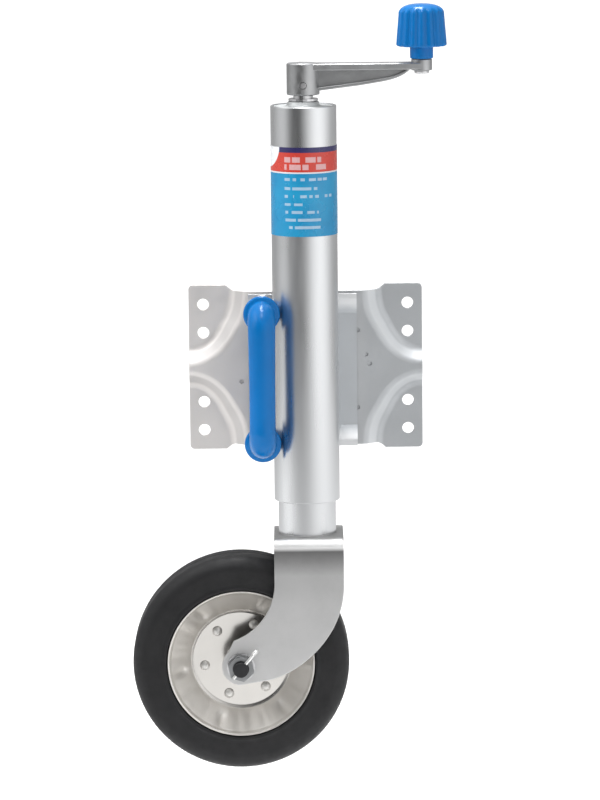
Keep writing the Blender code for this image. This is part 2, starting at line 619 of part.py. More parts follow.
def build_axle():
    """Axle bolt with its head behind the fork, washers, a nut in front and a split pin."""
    place, face, end, bevel = wheel_place(), FORK_HALF_WIDTH + GAP, 54.5 * MM, 0.7 * MM
    seat = face + WASHER_THICK + GAP
    bolt = [(0, end), (AXLE_RADIUS - bevel, end), (AXLE_RADIUS, end - bevel), (AXLE_RADIUS, -seat - 0.1 * MM),
            (0, -seat - 0.1 * MM)]
    axle = turned("axle_bolt", bolt, 28, place, "black_steel")
    outline = hexagon(HEX_14_FLATS, (WHEEL_X, WHEEL_Z), HEX_14_TURN)
    head = extruded("head", outline, TUBE_Y + seat, TUBE_Y + seat + 9.9 * MM, lay_xz)
    boolean(axle, cutter("axle_head", [head]), "UNION")
    pin_hole = rod("hole", SPLIT_PIN_WIRE + 0.4 * MM, -20 * MM, 20 * MM, split_pin_place(), 12)
    boolean(axle, cutter("axle_pin_hole", [pin_hole]))
    bore_radius = AXLE_RADIUS + GAP
    for word, start in (("front", face), ("rear", -face - WASHER_THICK)):
        stop = start + WASHER_THICK
        washer(f"axle_washer_{word}", bore_radius, 13 * MM, start, stop, place, 28, "bright_steel")
    nut_front, nut_back = TUBE_Y - seat - 7.9 * MM, TUBE_Y - seat
    nut = extruded("axle_nut", outline, nut_front, nut_back, lay_xz, "bright_steel", False)
    boolean(nut, cutter("axle_nut_bore", [rod("bore", bore_radius, 30 * MM, 60 * MM, place, 28)]))


def build_split_pin():
    """Split pin: an eye turned nearly edge-on and a straight shank through the axle bolt."""
    wire, eye_radius, eye_height = SPLIT_PIN_WIRE, 2.3 * MM, 20.4 * MM
    place = split_pin_place()
    shank = rod("split_pin", wire, -11 * MM, eye_height - eye_radius, place, 10, "bright_steel")
    eye_ring = arc((eye_radius, 0), wire, 0, 315, 7)
    eye_turn = Matrix.Rotation(math.radians(68), 4, "Z")
    eye_place = place @ Matrix.Translation((0, 0, eye_height)) @ eye_turn @ Y_AXIS
    eye = turned("eye", eye_ring, 16, eye_place, ring=True)
    boolean(shank, cutter("split_pin_eye", [eye]), "UNION")


def rim_profile():
    """Half rim as (radius, offset from the wheel's mid-plane): flat centre, cone and rolled lip."""
    face = [(14.4, 2.65), (44, 2.65), (47.0, 3.9), (64.6, 21.9), (66.4, 24.6), (68.1, 25.5)]
    back = [(68.1, 24.0), (67.9, 22.6), (66.2, 20.3), (48.9, 2.6), (45.3, 0.15), (14.4, 0.15)]
    return [(r * MM, s * MM) for r, s in face + back]


def tyre_profile():
    """Solid rubber tyre on the V between the rim halves, as (radius, offset)."""
    bead = [(47.6, 0.0), (49.6, 2.2), (66.9, 19.9), (68.9, 22.3), (68.9, 25.9), (70.6, 27.5)]
    half = [(r * MM, s * MM) for r, s in bead]
    rounding = 14.0 * MM
    half += arc((TYRE_RADIUS - rounding, TYRE_HALF_WIDTH - rounding), rounding, 90, 0, 3)
    return half + [(r, -s) for r, s in half[:0:-1]]


def rivet_spots():
    """Centres of the wheel's rivets as (x, z)."""
    last = RIVET_FIRST_ANGLE + 360 - 360 / RIVET_COUNT
    return arc((WHEEL_X, WHEEL_Z), RIVET_CIRCLE, RIVET_FIRST_ANGLE, last, RIVET_COUNT - 1)


def build_wheel():
    """Tyre, two rim halves riveted together, and a hub tube with a nylon bush in each end."""
    place = wheel_place()
    turned("tyre", tyre_profile(), 40, place, "tyre_rubber", ring=True)
    bore = AXLE_RADIUS + GAP
    for word, side in (("front", 1), ("rear", -1)):
        profile = [(r, s * side) for r, s in rim_profile()]
        rim = turned(f"rim_{word}", profile, 36, place, "zinc_rim", ring=True)
        holes = [rod("hole", 3.3 * MM, -10 * MM, 10 * MM, along_y(x, z, TUBE_Y), 12)
                 for x, z in rivet_spots()]
        boolean(rim, cutter(f"rim_{word}_holes", holes))
        bush = [(bore, 32.3 * MM), (13.0 * MM, 32.3 * MM), (13.0 * MM, 30.3 * MM),
                (10.7 * MM, 30.3 * MM), (10.7 * MM, 12.0 * MM), (bore, 12.0 * MM)]
        bush = [(r, s * side) for r, s in bush]
        turned(f"wheel_bush_{word}", bush, 20, place, "nylon", ring=True)
    washer("hub_tube", 11.0 * MM, 14.0 * MM, -30 * MM, 30 * MM, place, 32, "zinc_rim")
    half = [(0, 6.0 * MM), (2.4 * MM, 5.6 * MM), (4.2 * MM, 4.3 * MM), (4.6 * MM, 2.95 * MM),
            (3.0 * MM, 2.95 * MM)]
    rivet = half + [(r, -s) for r, s in reversed(half)]
    for number, (x, z) in enumerate(rivet_spots()):
        turned(f"rim_rivet_{number + 1}", rivet, 12, along_y(x, z, TUBE_Y), "zinc_rim")


def main():
    for thing in list(bpy.data.objects):
        bpy.data.objects.remove(thing)
    build_base_plate()
    build_pivot()
    build_swivel_plate()
    build_lock_units()
    build_handle()
    build_outer_tube()
    build_label()
    build_screw()
    build_crank()
    build_knob()
    build_leg()
    build_fork()
    build_axle()
    build_split_pin()
    build_wheel()
    bpy.context.view_layer.update()


main()
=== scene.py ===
"""Looks for the swing-up jockey wheel jack: fine meshes, materials, camera and studio light.

Lengths are in metres, except where a docstring says millimetres.
"""

import math

import bmesh
import bpy
from mathutils import Matrix, Vector, noise
from mathutils.geometry import interpolate_bezier


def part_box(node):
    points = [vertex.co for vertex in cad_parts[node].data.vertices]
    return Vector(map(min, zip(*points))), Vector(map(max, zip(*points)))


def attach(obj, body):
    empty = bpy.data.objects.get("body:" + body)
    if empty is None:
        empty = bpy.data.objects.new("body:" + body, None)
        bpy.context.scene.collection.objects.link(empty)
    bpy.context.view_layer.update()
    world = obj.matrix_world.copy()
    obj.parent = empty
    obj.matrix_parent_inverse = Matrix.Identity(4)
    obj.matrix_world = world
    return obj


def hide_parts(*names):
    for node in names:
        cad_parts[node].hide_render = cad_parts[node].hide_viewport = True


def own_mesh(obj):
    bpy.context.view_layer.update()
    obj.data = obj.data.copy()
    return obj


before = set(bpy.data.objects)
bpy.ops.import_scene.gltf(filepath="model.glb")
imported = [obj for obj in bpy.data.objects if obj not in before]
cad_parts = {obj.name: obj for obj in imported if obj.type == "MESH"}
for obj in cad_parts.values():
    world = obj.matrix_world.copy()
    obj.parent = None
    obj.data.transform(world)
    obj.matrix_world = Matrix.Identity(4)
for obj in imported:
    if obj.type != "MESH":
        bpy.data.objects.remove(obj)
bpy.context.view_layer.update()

MM = 0.001

# Sky: radiance of the ceiling, of the window on the left and of the horizon.
CEILING, WINDOW, HORIZON = 0.95, 1.4, 0.52
# Light tent: (azimuth in degrees, brightness) of its cards beside the tube, and of those beside the wheel.
CARDS = [(-180, 0.55), (-116, 0.45), (-89, 0.8), (-67, 0.68), (-47, 0.16), (-28, 0.02), (-10, 0.1),
         (7, 0.55), (24, 1.15), (42, 1.55), (63, 1.55), (84, 1.05), (110, 0.5), (152, 0.42), (180, 0.55)]
LOW_CARDS = [(-180, 0.8), (-130, 0.8), (-95, 1.75), (-58, 1.7), (-32, 1.1), (-8, 0.72), (17, 0.86),
             (45, 1.2), (70, 1.4), (104, 1.35), (140, 1.1), (180, 0.8)]


# ---- places read from the frame

def centre(node):
    low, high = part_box(node)
    return (low + high) / 2


def size(node):
    low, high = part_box(node)
    return high - low


def heights(node):
    """Bottom and top in millimetres."""
    return [corner.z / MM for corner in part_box(node)]


TUBE = centre("outer_tube")
TUBE_RADIUS = size("outer_tube").x / 2
TUBE_PLACE = Matrix.Translation((TUBE.x, TUBE.y, 0))
WHEEL = centre("tyre")
KNOB = centre("crank_knob")
PLATE_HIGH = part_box("base_plate")[1]
SWIVEL_LOW, SWIVEL_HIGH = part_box("swivel_plate")
FORK_LOW, FORK_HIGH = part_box("fork")
HANDLE_X = centre("lock_handle").x
PIN_Z = centre("lock_pin_upper").z
PIN_PLACES = (("upper", PIN_Z), ("lower", -PIN_Z))
RIVET_ANGLES = [70 + 60 * number for number in range(6)]
LEG_TRAVEL = 180 * MM
RIM_FLAT, RIM_CONE = 44 * MM, 50 * MM


# ---- shapes

def joined_ring(count, first, second):
    """Side faces between two rows of count vertices that start at first and second."""
    pairs = [(k, (k + 1) % count) for k in range(count)]
    return [[first + k, first + after, second + after, second + k] for k, after in pairs]


def rounded(points, radius, steps=4, closed=True):
    """Rounds the corners of a 2-D outline. radius is one number or one for each point."""
    radii = radius if isinstance(radius, list) else [radius] * len(points)
    result = []
    for index, point in enumerate(points):
        here = Vector(point)
        back = Vector(points[index - 1]) - here
        ahead = Vector(points[(index + 1) % len(points)]) - here
        opening = back.angle(ahead)
        loose_end = not closed and index in (0, len(points) - 1)
        if loose_end or radii[index] <= 0 or not math.radians(3) < opening < math.radians(176):
            result.append(tuple(here))
            continue
        reach = min(radii[index] / math.tan(opening / 2), 0.46 * back.length, 0.46 * ahead.length)
        radius_here = reach * math.tan(opening / 2)
        inward = (back.normalized() + ahead.normalized()).normalized()
        middle = here + inward * radius_here / math.sin(opening / 2)
        start = here + back.normalized() * reach - middle
        end = here + ahead.normalized() * reach - middle
        turn = start.angle_signed(end)
        for step in range(steps + 1):
            angle = -turn * step / steps
            x = start.x * math.cos(angle) - start.y * math.sin(angle)
            y = start.x * math.sin(angle) + start.y * math.cos(angle)
            result.append((middle.x + x, middle.y + y))
    return result


def refined(profile, longest):
    """Adds points so that no stretch of a closed profile is longer than longest."""
    result = []
    for index, point in enumerate(profile):
        here, after = Vector(point), Vector(profile[(index + 1) % len(profile)])
        count = max(1, math.ceil((after - here).length / longest))
        result += [tuple(here.lerp(after, k / count)) for k in range(count)]
    return result


def arc(middle, radius, start, end, steps):
    """Points of a circular arc, both ends included, angles in degrees."""
    angles = [math.radians(start + (end - start) * step / steps) for step in range(steps + 1)]
    return [(middle[0] + radius * math.cos(a), middle[1] + radius * math.sin(a)) for a in angles]


def quarter(count):
    """Angles that divide a quarter turn in count steps, both ends included."""
    return [math.radians(90 * k / count) for k in range(count + 1)]


def bezier(start, handle_a, handle_b, end, count):
    flat = [Vector((*point, 0.0)) for point in (start, handle_a, handle_b, end)]
    return [(point.x, point.y) for point in interpolate_bezier(*flat, count)]


def metres(points):
    """Points given in millimetres."""
    return [tuple(value * MM for value in point) for point in points]


def smooth_step(value):
    value = min(1.0, max(0.0, value))
    return value * value * (3 - 2 * value)


def hexagon(flats, middle=(0, 0), turn=0):
    """Six corners of a hexagon across the given flats, the first one turn degrees round."""
    return arc(middle, flats / math.sqrt(3), turn, turn + 300, 5)


def along_y(x, z, y=0.0):
    """Turns a piece's own +Z to the user, along -Y."""
    return Matrix.Translation((x, y, z)) @ Matrix.Rotation(math.radians(90), 4, "X")


def placed(name, data):
    """A new object in the scene."""
    thing = bpy.data.objects.new(name, data)
    bpy.context.scene.collection.objects.link(thing)
    return thing


def from_bmesh(name, work):
    """An object of the finished bmesh, with its faces turned outward."""
    bmesh.ops.recalc_face_normals(work, faces=work.faces)
    mesh = bpy.data.meshes.new(name)
    work.to_mesh(mesh)
    work.free()
    return placed(name, mesh)


def raw(name, vertices, faces):
    work = bmesh.new()
    points = [work.verts.new(v) for v in vertices]
    for face in faces:
        work.faces.new([points[k] for k in face])
    return from_bmesh(name, work)


def lathe(name, profile, segments, place, ring=False, wave=None):
    """A turned piece about the own Z of place. wave(radius, height, angle) may shift each point."""
    vertices, rows = [], []
    for radius, height in profile:
        if radius < 1e-7:
            rows.append([len(vertices)] * segments)
            vertices.append(place @ Vector((0, 0, height)))
            continue
        rows.append(list(range(len(vertices), len(vertices) + segments)))
        for step in range(segments):
            angle = 2 * math.pi * step / segments
            reach, lift = wave(radius, height, angle) if wave else (radius, height)
            vertices.append(place @ Vector((reach * math.cos(angle), reach * math.sin(angle), lift)))
    faces = []
    for upper, lower in zip(rows, rows[1:] + (rows[:1] if ring else [])):
        for step in range(segments):
            after = (step + 1) % segments
            loop = list(dict.fromkeys([upper[step], upper[after], lower[after], lower[step]]))
            if len(loop) > 2:
                faces.append(loop)
    return raw(name, vertices, faces)


def turned(name, points, radii, steps, segments, place, ring=False):
    """A lathed piece with rounded corners; its (radius, height) points and radii are in millimetres."""
    radii = [radius * MM for radius in radii] if isinstance(radii, list) else radii * MM
    return lathe(name, rounded(metres(points), radii, steps, ring), segments, place, ring)


def rod(radius, bottom, top, place, segments=48):
    """A plain cylinder, in millimetres, mostly to cut holes with."""
    profile = metres([(0, top), (radius, top), (radius, bottom), (0, bottom)])
    return lathe("rod", profile, segments, place)


def disc_ring(name, bore, radius, bottom, top, place, ease=0.3):
    """A washer or bush, in millimetres."""
    profile = [(bore, top), (radius, top), (radius, bottom), (bore, bottom)]
    return turned(name, profile, ease, 2, 64, place, ring=True)


def prism(name, outline, near, far, axis=1):
    """An outline in two axes, stretched along the third, which is axis 0, 1 or 2."""
    count = len(outline)
    vertices = [(*point[:axis], depth, *point[axis:]) for depth in (near, far) for point in outline]
    faces = [list(range(count)), list(range(count, 2 * count))] + joined_ring(count, 0, count)
    return raw(name, vertices, faces)


def ring_about(point, across, up, radius, sides):
    """The corners of a many-sided ring round the point."""
    turns = [2 * math.pi * step / sides for step in range(sides)]
    return [point + radius * (math.cos(turn) * across + math.sin(turn) * up) for turn in turns]


def skinned(name, rings):
    """A solid through rings of the same number of corners, closed at both ends."""
    sides = len(rings[0])
    last = (len(rings) - 1) * sides
    faces = [face for first in range(0, last, sides) for face in joined_ring(sides, first, first + sides)]
    faces += [list(range(sides)), list(range(last, last + sides))]
    return raw(name, [corner for ring in rings for corner in ring], faces)


def swept(name, path, radii, sides):
    """A tube along a smooth path with a radius at each point."""
    rings = []
    tangent = (path[1] - path[0]).normalized()
    side = tangent.orthogonal().normalized()
    for index, point in enumerate(path):
        before, after = path[max(index - 1, 0)], path[min(index + 1, len(path) - 1)]
        if (after - before).length > 1e-9:
            tangent = (after - before).normalized()
        side = (side - tangent * side.dot(tangent)).normalized()
        rings.append(ring_about(point, side, tangent.cross(side), radii[index], sides))
    return skinned(name, rings)


def ring_path(place, radius, height, end, count, rise=0.0):
    """Points round the own Z of place from 0 to end degrees, climbing by rise on the way."""
    return [place @ Vector((x, y, height + rise * k / count))
            for k, (x, y) in enumerate(arc((0, 0), radius, 0, end, count))]


def settled(thing):
    """Replaces the object's mesh by the result of its modifiers."""
    view = bpy.context.evaluated_depsgraph_get()
    view.update()
    mesh = bpy.data.meshes.new_from_object(thing.evaluated_get(view))
    thing.modifiers.clear()
    thing.data = mesh
    return thing


def combine(target, tools, operation="DIFFERENCE"):
    """Boolean with each tool in turn; the tools are used up."""
    for tool in tools:
        step = target.modifiers.new("cut", "BOOLEAN")
        step.operation, step.object, step.solver = operation, tool, "EXACT"
        bpy.context.view_layer.update()
        settled(target)
        bpy.data.objects.remove(tool)
    return target


def eased(thing, width, segments=2, angle=40):
    """Breaks the sharp edges with a small bevel, its width in millimetres."""
    step = thing.modifiers.new("ease", "BEVEL")
    step.width, step.segments, step.use_clamp_overlap = width * MM, segments, True
    step.limit_method, step.angle_limit = "ANGLE", math.radians(angle)
    return settled(thing)


def dress(thing, material, body, slot, *stands_for, sharp=34):
    """Shades the piece, gives it its material, sets it on its body and hides what it stands for."""
    mesh = thing.data
    mesh.shade_smooth()
    mesh.set_sharp_from_angle(angle=math.radians(sharp))
    mesh.materials.clear()
    mesh.materials.append(material)
    weigh = thing.modifiers.new("normals", "WEIGHTED_NORMAL")
    weigh.keep_sharp = True
    settled(thing)
    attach(thing, body)
    if stands_for:
        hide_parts(*stands_for)
    return thing


# ---- materials

class Nodes:
    """A node tree in the making. Inputs that are sockets get linked, plain values are set."""

    def __init__(self, tree, coordinates="Object"):
        self.tree = tree
        self.shader = tree.nodes.get("Principled BSDF")
        self.place = self.add("TexCoord", {}).outputs[coordinates]

    def fill(self, node, inputs):
        for socket, value in inputs.items():
            if isinstance(value, bpy.types.NodeSocket):
                self.tree.links.new(value, node.inputs[socket])
            else:
                node.inputs[socket].default_value = value

    def add(self, kind, inputs, **settings):
        node = self.tree.nodes.new("ShaderNode" + kind)
        for name, value in settings.items():
            setattr(node, name, value)
        self.fill(node, inputs)
        return node

    def axis(self, letter):
        return self.add("SeparateXYZ", {"Vector": self.place}).outputs[letter]

    def math(self, operation, *values):
        return self.add("Math", dict(enumerate(values)), operation=operation).outputs["Value"]

    def less(self, first, second):
        return self.math("SUBTRACT", first, second)

    def times(self, first, second):
        return self.math("MULTIPLY", first, second)

    def length(self, first, second):
        """The long side of a right triangle."""
        return self.math("SQRT", self.math("ADD", self.times(first, first), self.times(second, second)))

    def noise(self, scale, detail=3.0, stretch=(1, 1, 1), shift=0.0):
        mapping = self.add("Mapping", {"Vector": self.place, "Scale": stretch, "Location": (0, 0, shift)})
        inputs = {"Vector": mapping.outputs["Vector"], "Scale": scale, "Detail": detail, "Roughness": 0.55}
        return self.add("TexNoise", inputs).outputs["Fac"]

    def ramp(self, value, stops, mode="LINEAR"):
        """Colour by value from (position, colour or grey level) stops."""
        node = self.add("ValToRGB", {"Fac": value})
        node.color_ramp.interpolation = mode
        elements = node.color_ramp.elements
        while len(elements) < len(stops):
            elements.new(0.5)
        for element, (position, colour) in zip(elements, stops):
            element.position = position
            element.color = (*(colour if isinstance(colour, tuple) else (colour,) * 3), 1.0)
        return node.outputs["Color"]

    def mix(self, below, above, factor, blend="MIX"):
        inputs = {"A": below, "B": above, "Factor": factor}
        return self.add("Mix", inputs, data_type="RGBA", blend_type=blend).outputs["Result"]

    def spread(self, value, low, high, start=0.3, stop=0.7, kind="LINEAR"):
        """Maps start to low and stop to high, and holds the ends."""
        inputs = {"Value": value, "From Min": start, "From Max": stop, "To Min": low, "To Max": high}
        return self.add("MapRange", inputs, interpolation_type=kind).outputs["Result"]

    def smooth(self, value, start, stop):
        """0 before start, 1 after stop, with a soft step between; start may be the larger."""
        return self.spread(value, 0.0, 1.0, start, stop, "SMOOTHSTEP")

    def shade(self, inputs, bump, strength, distance=0.2 * MM):
        """Finishes the shader with its inputs and a bump."""
        relief = self.add("Bump", {"Height": bump, "Strength": strength, "Distance": distance})
        self.fill(self.shader, {**inputs, "Normal": relief.outputs["Normal"]})


def painted(name):
    material = bpy.data.materials.new(name)
    material.use_nodes = True
    return material, Nodes(material.node_tree)


def clouded(nodes, colour, vary, scale, detail=3.0, stretch=(1, 1, 1)):
    """The colour with soft darker and lighter patches."""
    darker, lighter = (tuple(channel * factor for channel in colour) for factor in (1 - vary, 1 + vary))
    return nodes.ramp(nodes.noise(scale, detail, stretch), [(0.3, darker), (0.7, lighter)])


def metal(name, colour, rough, vary=0.12, patch=18.0, grain=900.0, stretch=(1, 1, 1), bump=0.12,
          metallic=1.0, painted_light=None):
    """Plated or bare steel: cloudy tone, uneven gloss and a fine grain; the last argument, when given,
    multiplies the tone by painted light and shade.
    """
    material, nodes = painted(name)
    tone = clouded(nodes, colour, vary, patch, 4.0, stretch)
    if painted_light:
        tone = nodes.mix(tone, painted_light(nodes), 1.0, "MULTIPLY")
    roughness = nodes.spread(nodes.noise(patch * 4, 3.0, stretch), rough - 0.06, rough + 0.08)
    nodes.shade({"Base Color": tone, "Metallic": metallic, "Roughness": roughness},
                nodes.noise(grain, 2.0, stretch), bump, 0.3 * MM)
    return material


def plate_painted_light(nodes):
    """Painted light and shade: the flat sheet is painted warmer and brighter on the left, where the light
    falls, and darker and cooler on the right, a painted shadow of the tube; its pressed slopes get their
    own painted light level.
    """
    across = nodes.spread(nodes.axis("X"), 0.0, 1.0, -60 * MM, 60 * MM)
    flats = nodes.ramp(across, [(0.0, (1.0, 0.97, 0.95)), (1.0, (0.6, 0.62, 0.64))])
    slopes = nodes.ramp(across, [(0.0, (0.8, 0.78, 0.77)), (1.0, (0.78, 0.8, 0.82))])
    depth = nodes.axis("Y")
    before, behind = nodes.smooth(depth, -5.5 * MM, -8 * MM), nodes.smooth(depth, -14.2 * MM, -12 * MM)
    return nodes.mix(flats, slopes, nodes.times(before, behind))


def tab_painted_light(nodes):
    """Painted shade: the swivel sheet's web, behind the tube, is painted darker than both its tabs."""
    outward = nodes.spread(nodes.math("ABSOLUTE", nodes.axis("Z")), 0.0, 1.0, 55 * MM, 62 * MM)
    return nodes.ramp(outward, [(0.0, (0.7, 0.72, 0.74)), (1.0, 1.0)])


def fork_painted_light(nodes):
    """Painted light and shade on the strap: the top of its bend is left bright as a painted highlight, a
    painted dark band lies just under the bend and gets lighter down the leg; its inside faces get painted
    shade.
    """
    down = nodes.spread(nodes.axis("Z"), 0.0, 1.0, FORK_HIGH.z, FORK_HIGH.z - 115 * MM)
    outside = nodes.ramp(down, [(0.0, 1.0), (0.072, 1.0), (0.104, 0.19), (0.19, 0.31), (0.3, 0.5),
                                (0.55, 0.56), (0.8, 0.58), (1.0, 0.6)])
    depth = nodes.math("ABSOLUTE", nodes.less(nodes.axis("Y"), TUBE.y))
    inside = nodes.ramp(nodes.spread(depth, 0.0, 1.0, 33.5 * MM, 35.5 * MM), [(0.0, 0.45), (1.0, 1.0)])
    return nodes.mix(outside, inside, 1.0, "MULTIPLY")


def rim_metal(name, colour):
    """Plated pressing: a glossy, slightly darker flat centre and a duller cone."""
    material, nodes = painted(name)
    radius = nodes.length(nodes.less(nodes.axis("X"), WHEEL.x), nodes.less(nodes.axis("Z"), WHEEL.z))
    level = nodes.ramp(nodes.spread(radius, 0.0, 1.0, RIM_FLAT, RIM_CONE), [(0.0, 0.9), (1.0, 1.0)])
    tone = nodes.mix(clouded(nodes, colour, 0.04, 28.0), level, 1.0, "MULTIPLY")
    roughness = nodes.spread(radius, 0.17, 0.48, RIM_FLAT, RIM_CONE)
    nodes.shade({"Base Color": tone, "Metallic": 1.0, "Roughness": roughness},
                nodes.noise(160.0, 2.0), 0.05, 0.3 * MM)
    return material


def plastic(name, colour, rough, gloss=0.5):
    material, nodes = painted(name)
    roughness = nodes.spread(nodes.noise(90.0), rough - 0.03, rough + 0.05)
    nodes.shade({"Base Color": clouded(nodes, colour, 0.06, 30.0), "Specular IOR Level": gloss,
                 "Roughness": roughness}, nodes.noise(700.0, 2.0), 0.05)
    return material


def rubber(name):
    material, nodes = painted(name)
    stops = [(0.3, (0.005, 0.005, 0.006)), (0.75, (0.009, 0.009, 0.01))]
    nodes.shade({"Base Color": nodes.ramp(nodes.noise(35.0, 5.0), stops), "Specular IOR Level": 0.33,
                 "Roughness": nodes.spread(nodes.noise(120.0), 0.5, 0.66)}, nodes.noise(1400.0, 3.0), 0.25)
    return material


ZINC_TUBE = metal("zinc_tube", (0.6, 0.61, 0.62), 0.3, 0.05, 14.0, 700.0, (1, 1, 0.12), 0.06)
ZINC_PLATE = metal("zinc_plate", (0.5, 0.515, 0.52), 0.52, 0.07, 26.0)
# bracket, swivel and fork metals: their tone is multiplied by painted light and shade
ZINC_BRACKET = metal("zinc_bracket", (0.77, 0.77, 0.77), 0.56, 0.06, 22.0, painted_light=plate_painted_light)
ZINC_SWIVEL = metal("zinc_swivel", (0.74, 0.75, 0.76), 0.5, 0.05, 22.0, painted_light=tab_painted_light)
ZINC_FORK = metal("zinc_fork", (0.86, 0.86, 0.86), 0.52, 0.04, 30.0, painted_light=fork_painted_light)
ZINC_RIM = rim_metal("zinc_rim", (0.68, 0.66, 0.63))
ZINC_RIVET = metal("zinc_rivet", (0.66, 0.65, 0.63), 0.52, 0.04, 60.0, bump=0.04)
STEEL = metal("bright_steel", (0.6, 0.6, 0.61), 0.28, 0.08, 60.0, 1200.0)
BRIGHT = metal("pin_zinc", (0.82, 0.82, 0.81), 0.32, 0.05, 60.0, 1200.0)
NUT = metal("nut_zinc", (0.24, 0.245, 0.25), 0.34, 0.1, 80.0, 1200.0)
BLACK = metal("black_steel", (0.015, 0.015, 0.017), 0.42, 0.2, 80.0, bump=0.2, metallic=0.4)
BEARING = metal("bearing_steel", (0.72, 0.72, 0.74), 0.15, 0.04, 60.0)
BRONZE = metal("bronze", (0.62, 0.42, 0.19), 0.32, 0.12, 60.0)
CAST = metal("cast_zinc", (0.36, 0.365, 0.37), 0.38, 0.12, 45.0, 500.0, bump=0.3)
WELD = metal("weld_bead", (0.46, 0.46, 0.46), 0.42, 0.2, 160.0, bump=0.4)
BLUE = plastic("blue_plastic", (0.0, 0.122, 0.37), 0.2, gloss=0.22)
NYLON = plastic("nylon", (0.78, 0.78, 0.74), 0.5)
RUBBER = rubber("tyre_rubber")


# ---- bracket

def pad_edges():
    """Foot and crest of the pressed slope round the upper right bolt pad, side edge to top."""
    side, top = PLATE_HIGH.x / MM, 72.0
    foot = bezier((side, 16.5), (96, 16), (85.5, 24), (78.5, 39), 20)
    foot += bezier((78.5, 39), (74.5, 47.5), (68.5, 54), (68.5, top), 12)[1:]
    crest = bezier((side, 4.5), (92, 4.5), (78, 15), (69, 31), 20)
    crest += bezier((69, 31), (62, 43.5), (55.5, 50), (55.5, top), 12)[1:]
    return metres(foot), metres(crest)


def build_base_plate():
    """One pressed sheet: the front is built and bevelled, then copied back and joined at the rims."""
    thick, rise, corner_radius, slope_bend = 4 * MM, 11 * MM, 4 * MM, 3.6 * MM
    foot, crest = pad_edges()
    corner = arc((PLATE_HIGH.x - corner_radius, PLATE_HIGH.z - corner_radius), corner_radius, 0, 90, 6)
    step_top = (74.0 * MM, PLATE_HIGH.z)
    work = bmesh.new()
    seen, creases = {}, []

    def vertex(x, z, lift):
        key = (round(x, 7), round(z, 7))
        if key not in seen:
            seen[key] = work.verts.new((x, -thick - lift, z))
        return seen[key]

    for side_x in (1, -1):
        for side_z in (1, -1):
            low = [vertex(side_x * x, side_z * z, 0) for x, z in foot]
            high = [vertex(side_x * x, side_z * z, rise) for x, z in crest]
            rim = [vertex(side_x * x, side_z * z, 0) for x, z in corner + [step_top]]
            work.faces.new(low + rim[::-1])
            for k in range(len(low) - 1):
                work.faces.new((low[k], low[k + 1], high[k + 1], high[k]))
                creases += [(low[k], low[k + 1]), (high[k], high[k + 1])]
    mirrored = [(-x, z) for x, z in crest]
    middle = crest + mirrored[::-1] + [(x, -z) for x, z in mirrored] + [(x, -z) for x, z in crest][::-1]
    work.faces.new([vertex(x, z, rise) for x, z in middle])
    bmesh.ops.recalc_face_normals(work, faces=work.faces)
    lines = [work.edges.get(pair) for pair in creases]
    bmesh.ops.bevel(work, geom=lines, offset=slope_bend, segments=5, profile=0.5, affect="EDGES",
                    clamp_overlap=True)
    front = list(work.faces)
    if sum(face.normal.y for face in front) > 0:
        bmesh.ops.reverse_faces(work, faces=front)
    rims = [edge for edge in work.edges if len(edge.link_faces) == 1]
    copied = bmesh.ops.duplicate(work, geom=front + rims)
    partner = copied["vert_map"]
    back = [item for item in copied["geom"] if isinstance(item, bmesh.types.BMFace)]
    bmesh.ops.reverse_faces(work, faces=back)
    for point in {vert for face in back for vert in face.verts}:
        point.co.y += thick
    for edge in rims:
        a, b = edge.verts
        work.faces.new((a, b, partner[b], partner[a]))
    plate = from_bmesh("bracket_plate", work)
    deep, proud = -5, 25
    holes = [rod(5.5, deep, proud, along_y(x * MM, z * MM), 40)
             for x in (-95, 95) for z in (-59, -32.5, 32.5, 59)]
    holes += [rod(5.5, deep, proud, along_y(HANDLE_X, z), 40) for _, z in PIN_PLACES]
    holes.append(rod(8.3, deep, proud, along_y(0, 0)))
    specks = ((48.4, 35.2), (48, -37.2), (56, 12.4), (59.4, 3.6), (-59.7, -12), (-48.5, 37))
    holes += [rod(2.1, 13, proud, along_y(x * MM, z * MM), 20) for x, z in specks]
    combine(plate, holes)
    dress(eased(plate, 0.8, 3, 50), ZINC_BRACKET, "bracket", "zinc_plate", "base_plate", sharp=40)


def hex_piece(name, near, far):
    """Hexagonal head or nut with the usual turned corners, along Y about the origin, in millimetres."""
    flats, chamfer = 24.0, 3.5
    narrow, wide = flats / 2 - 0.2, flats / 2 + 6
    block = prism(name, hexagon(flats * MM), near * MM, far * MM)
    profile = [(0, 20 - near), (narrow, 20 - near), (narrow, -near), (wide, -near - chamfer), (wide, -far),
               (0, -far - 0.001)]
    return combine(block, [lathe("cone", metres(profile), 48, along_y(0, 0))], "INTERSECT")


def build_pivot():
    place = along_y(0, 0)
    head = hex_piece("pivot_bolt_body", -10.7, -2.0)
    combine(head, [rod(8, 9, 28.2, place)], "UNION")
    dress(eased(head, 0.25), STEEL, "bracket", "bright_steel", "pivot_bolt")
    washer = disc_ring("pivot_spring_washer", 8.3, 14.5, 20.6, 22.2, place)
    dress(washer, STEEL, "bracket", "bright_steel", "pivot_washer")
    nut = hex_piece("pivot_lock_nut", -27.9, -22.5)
    combine(nut, [rod(8.3, 20, 30, place)])
    dress(eased(nut, 0.25), STEEL, "bracket", "bright_steel", "pivot_nut")


# ---- swinging part

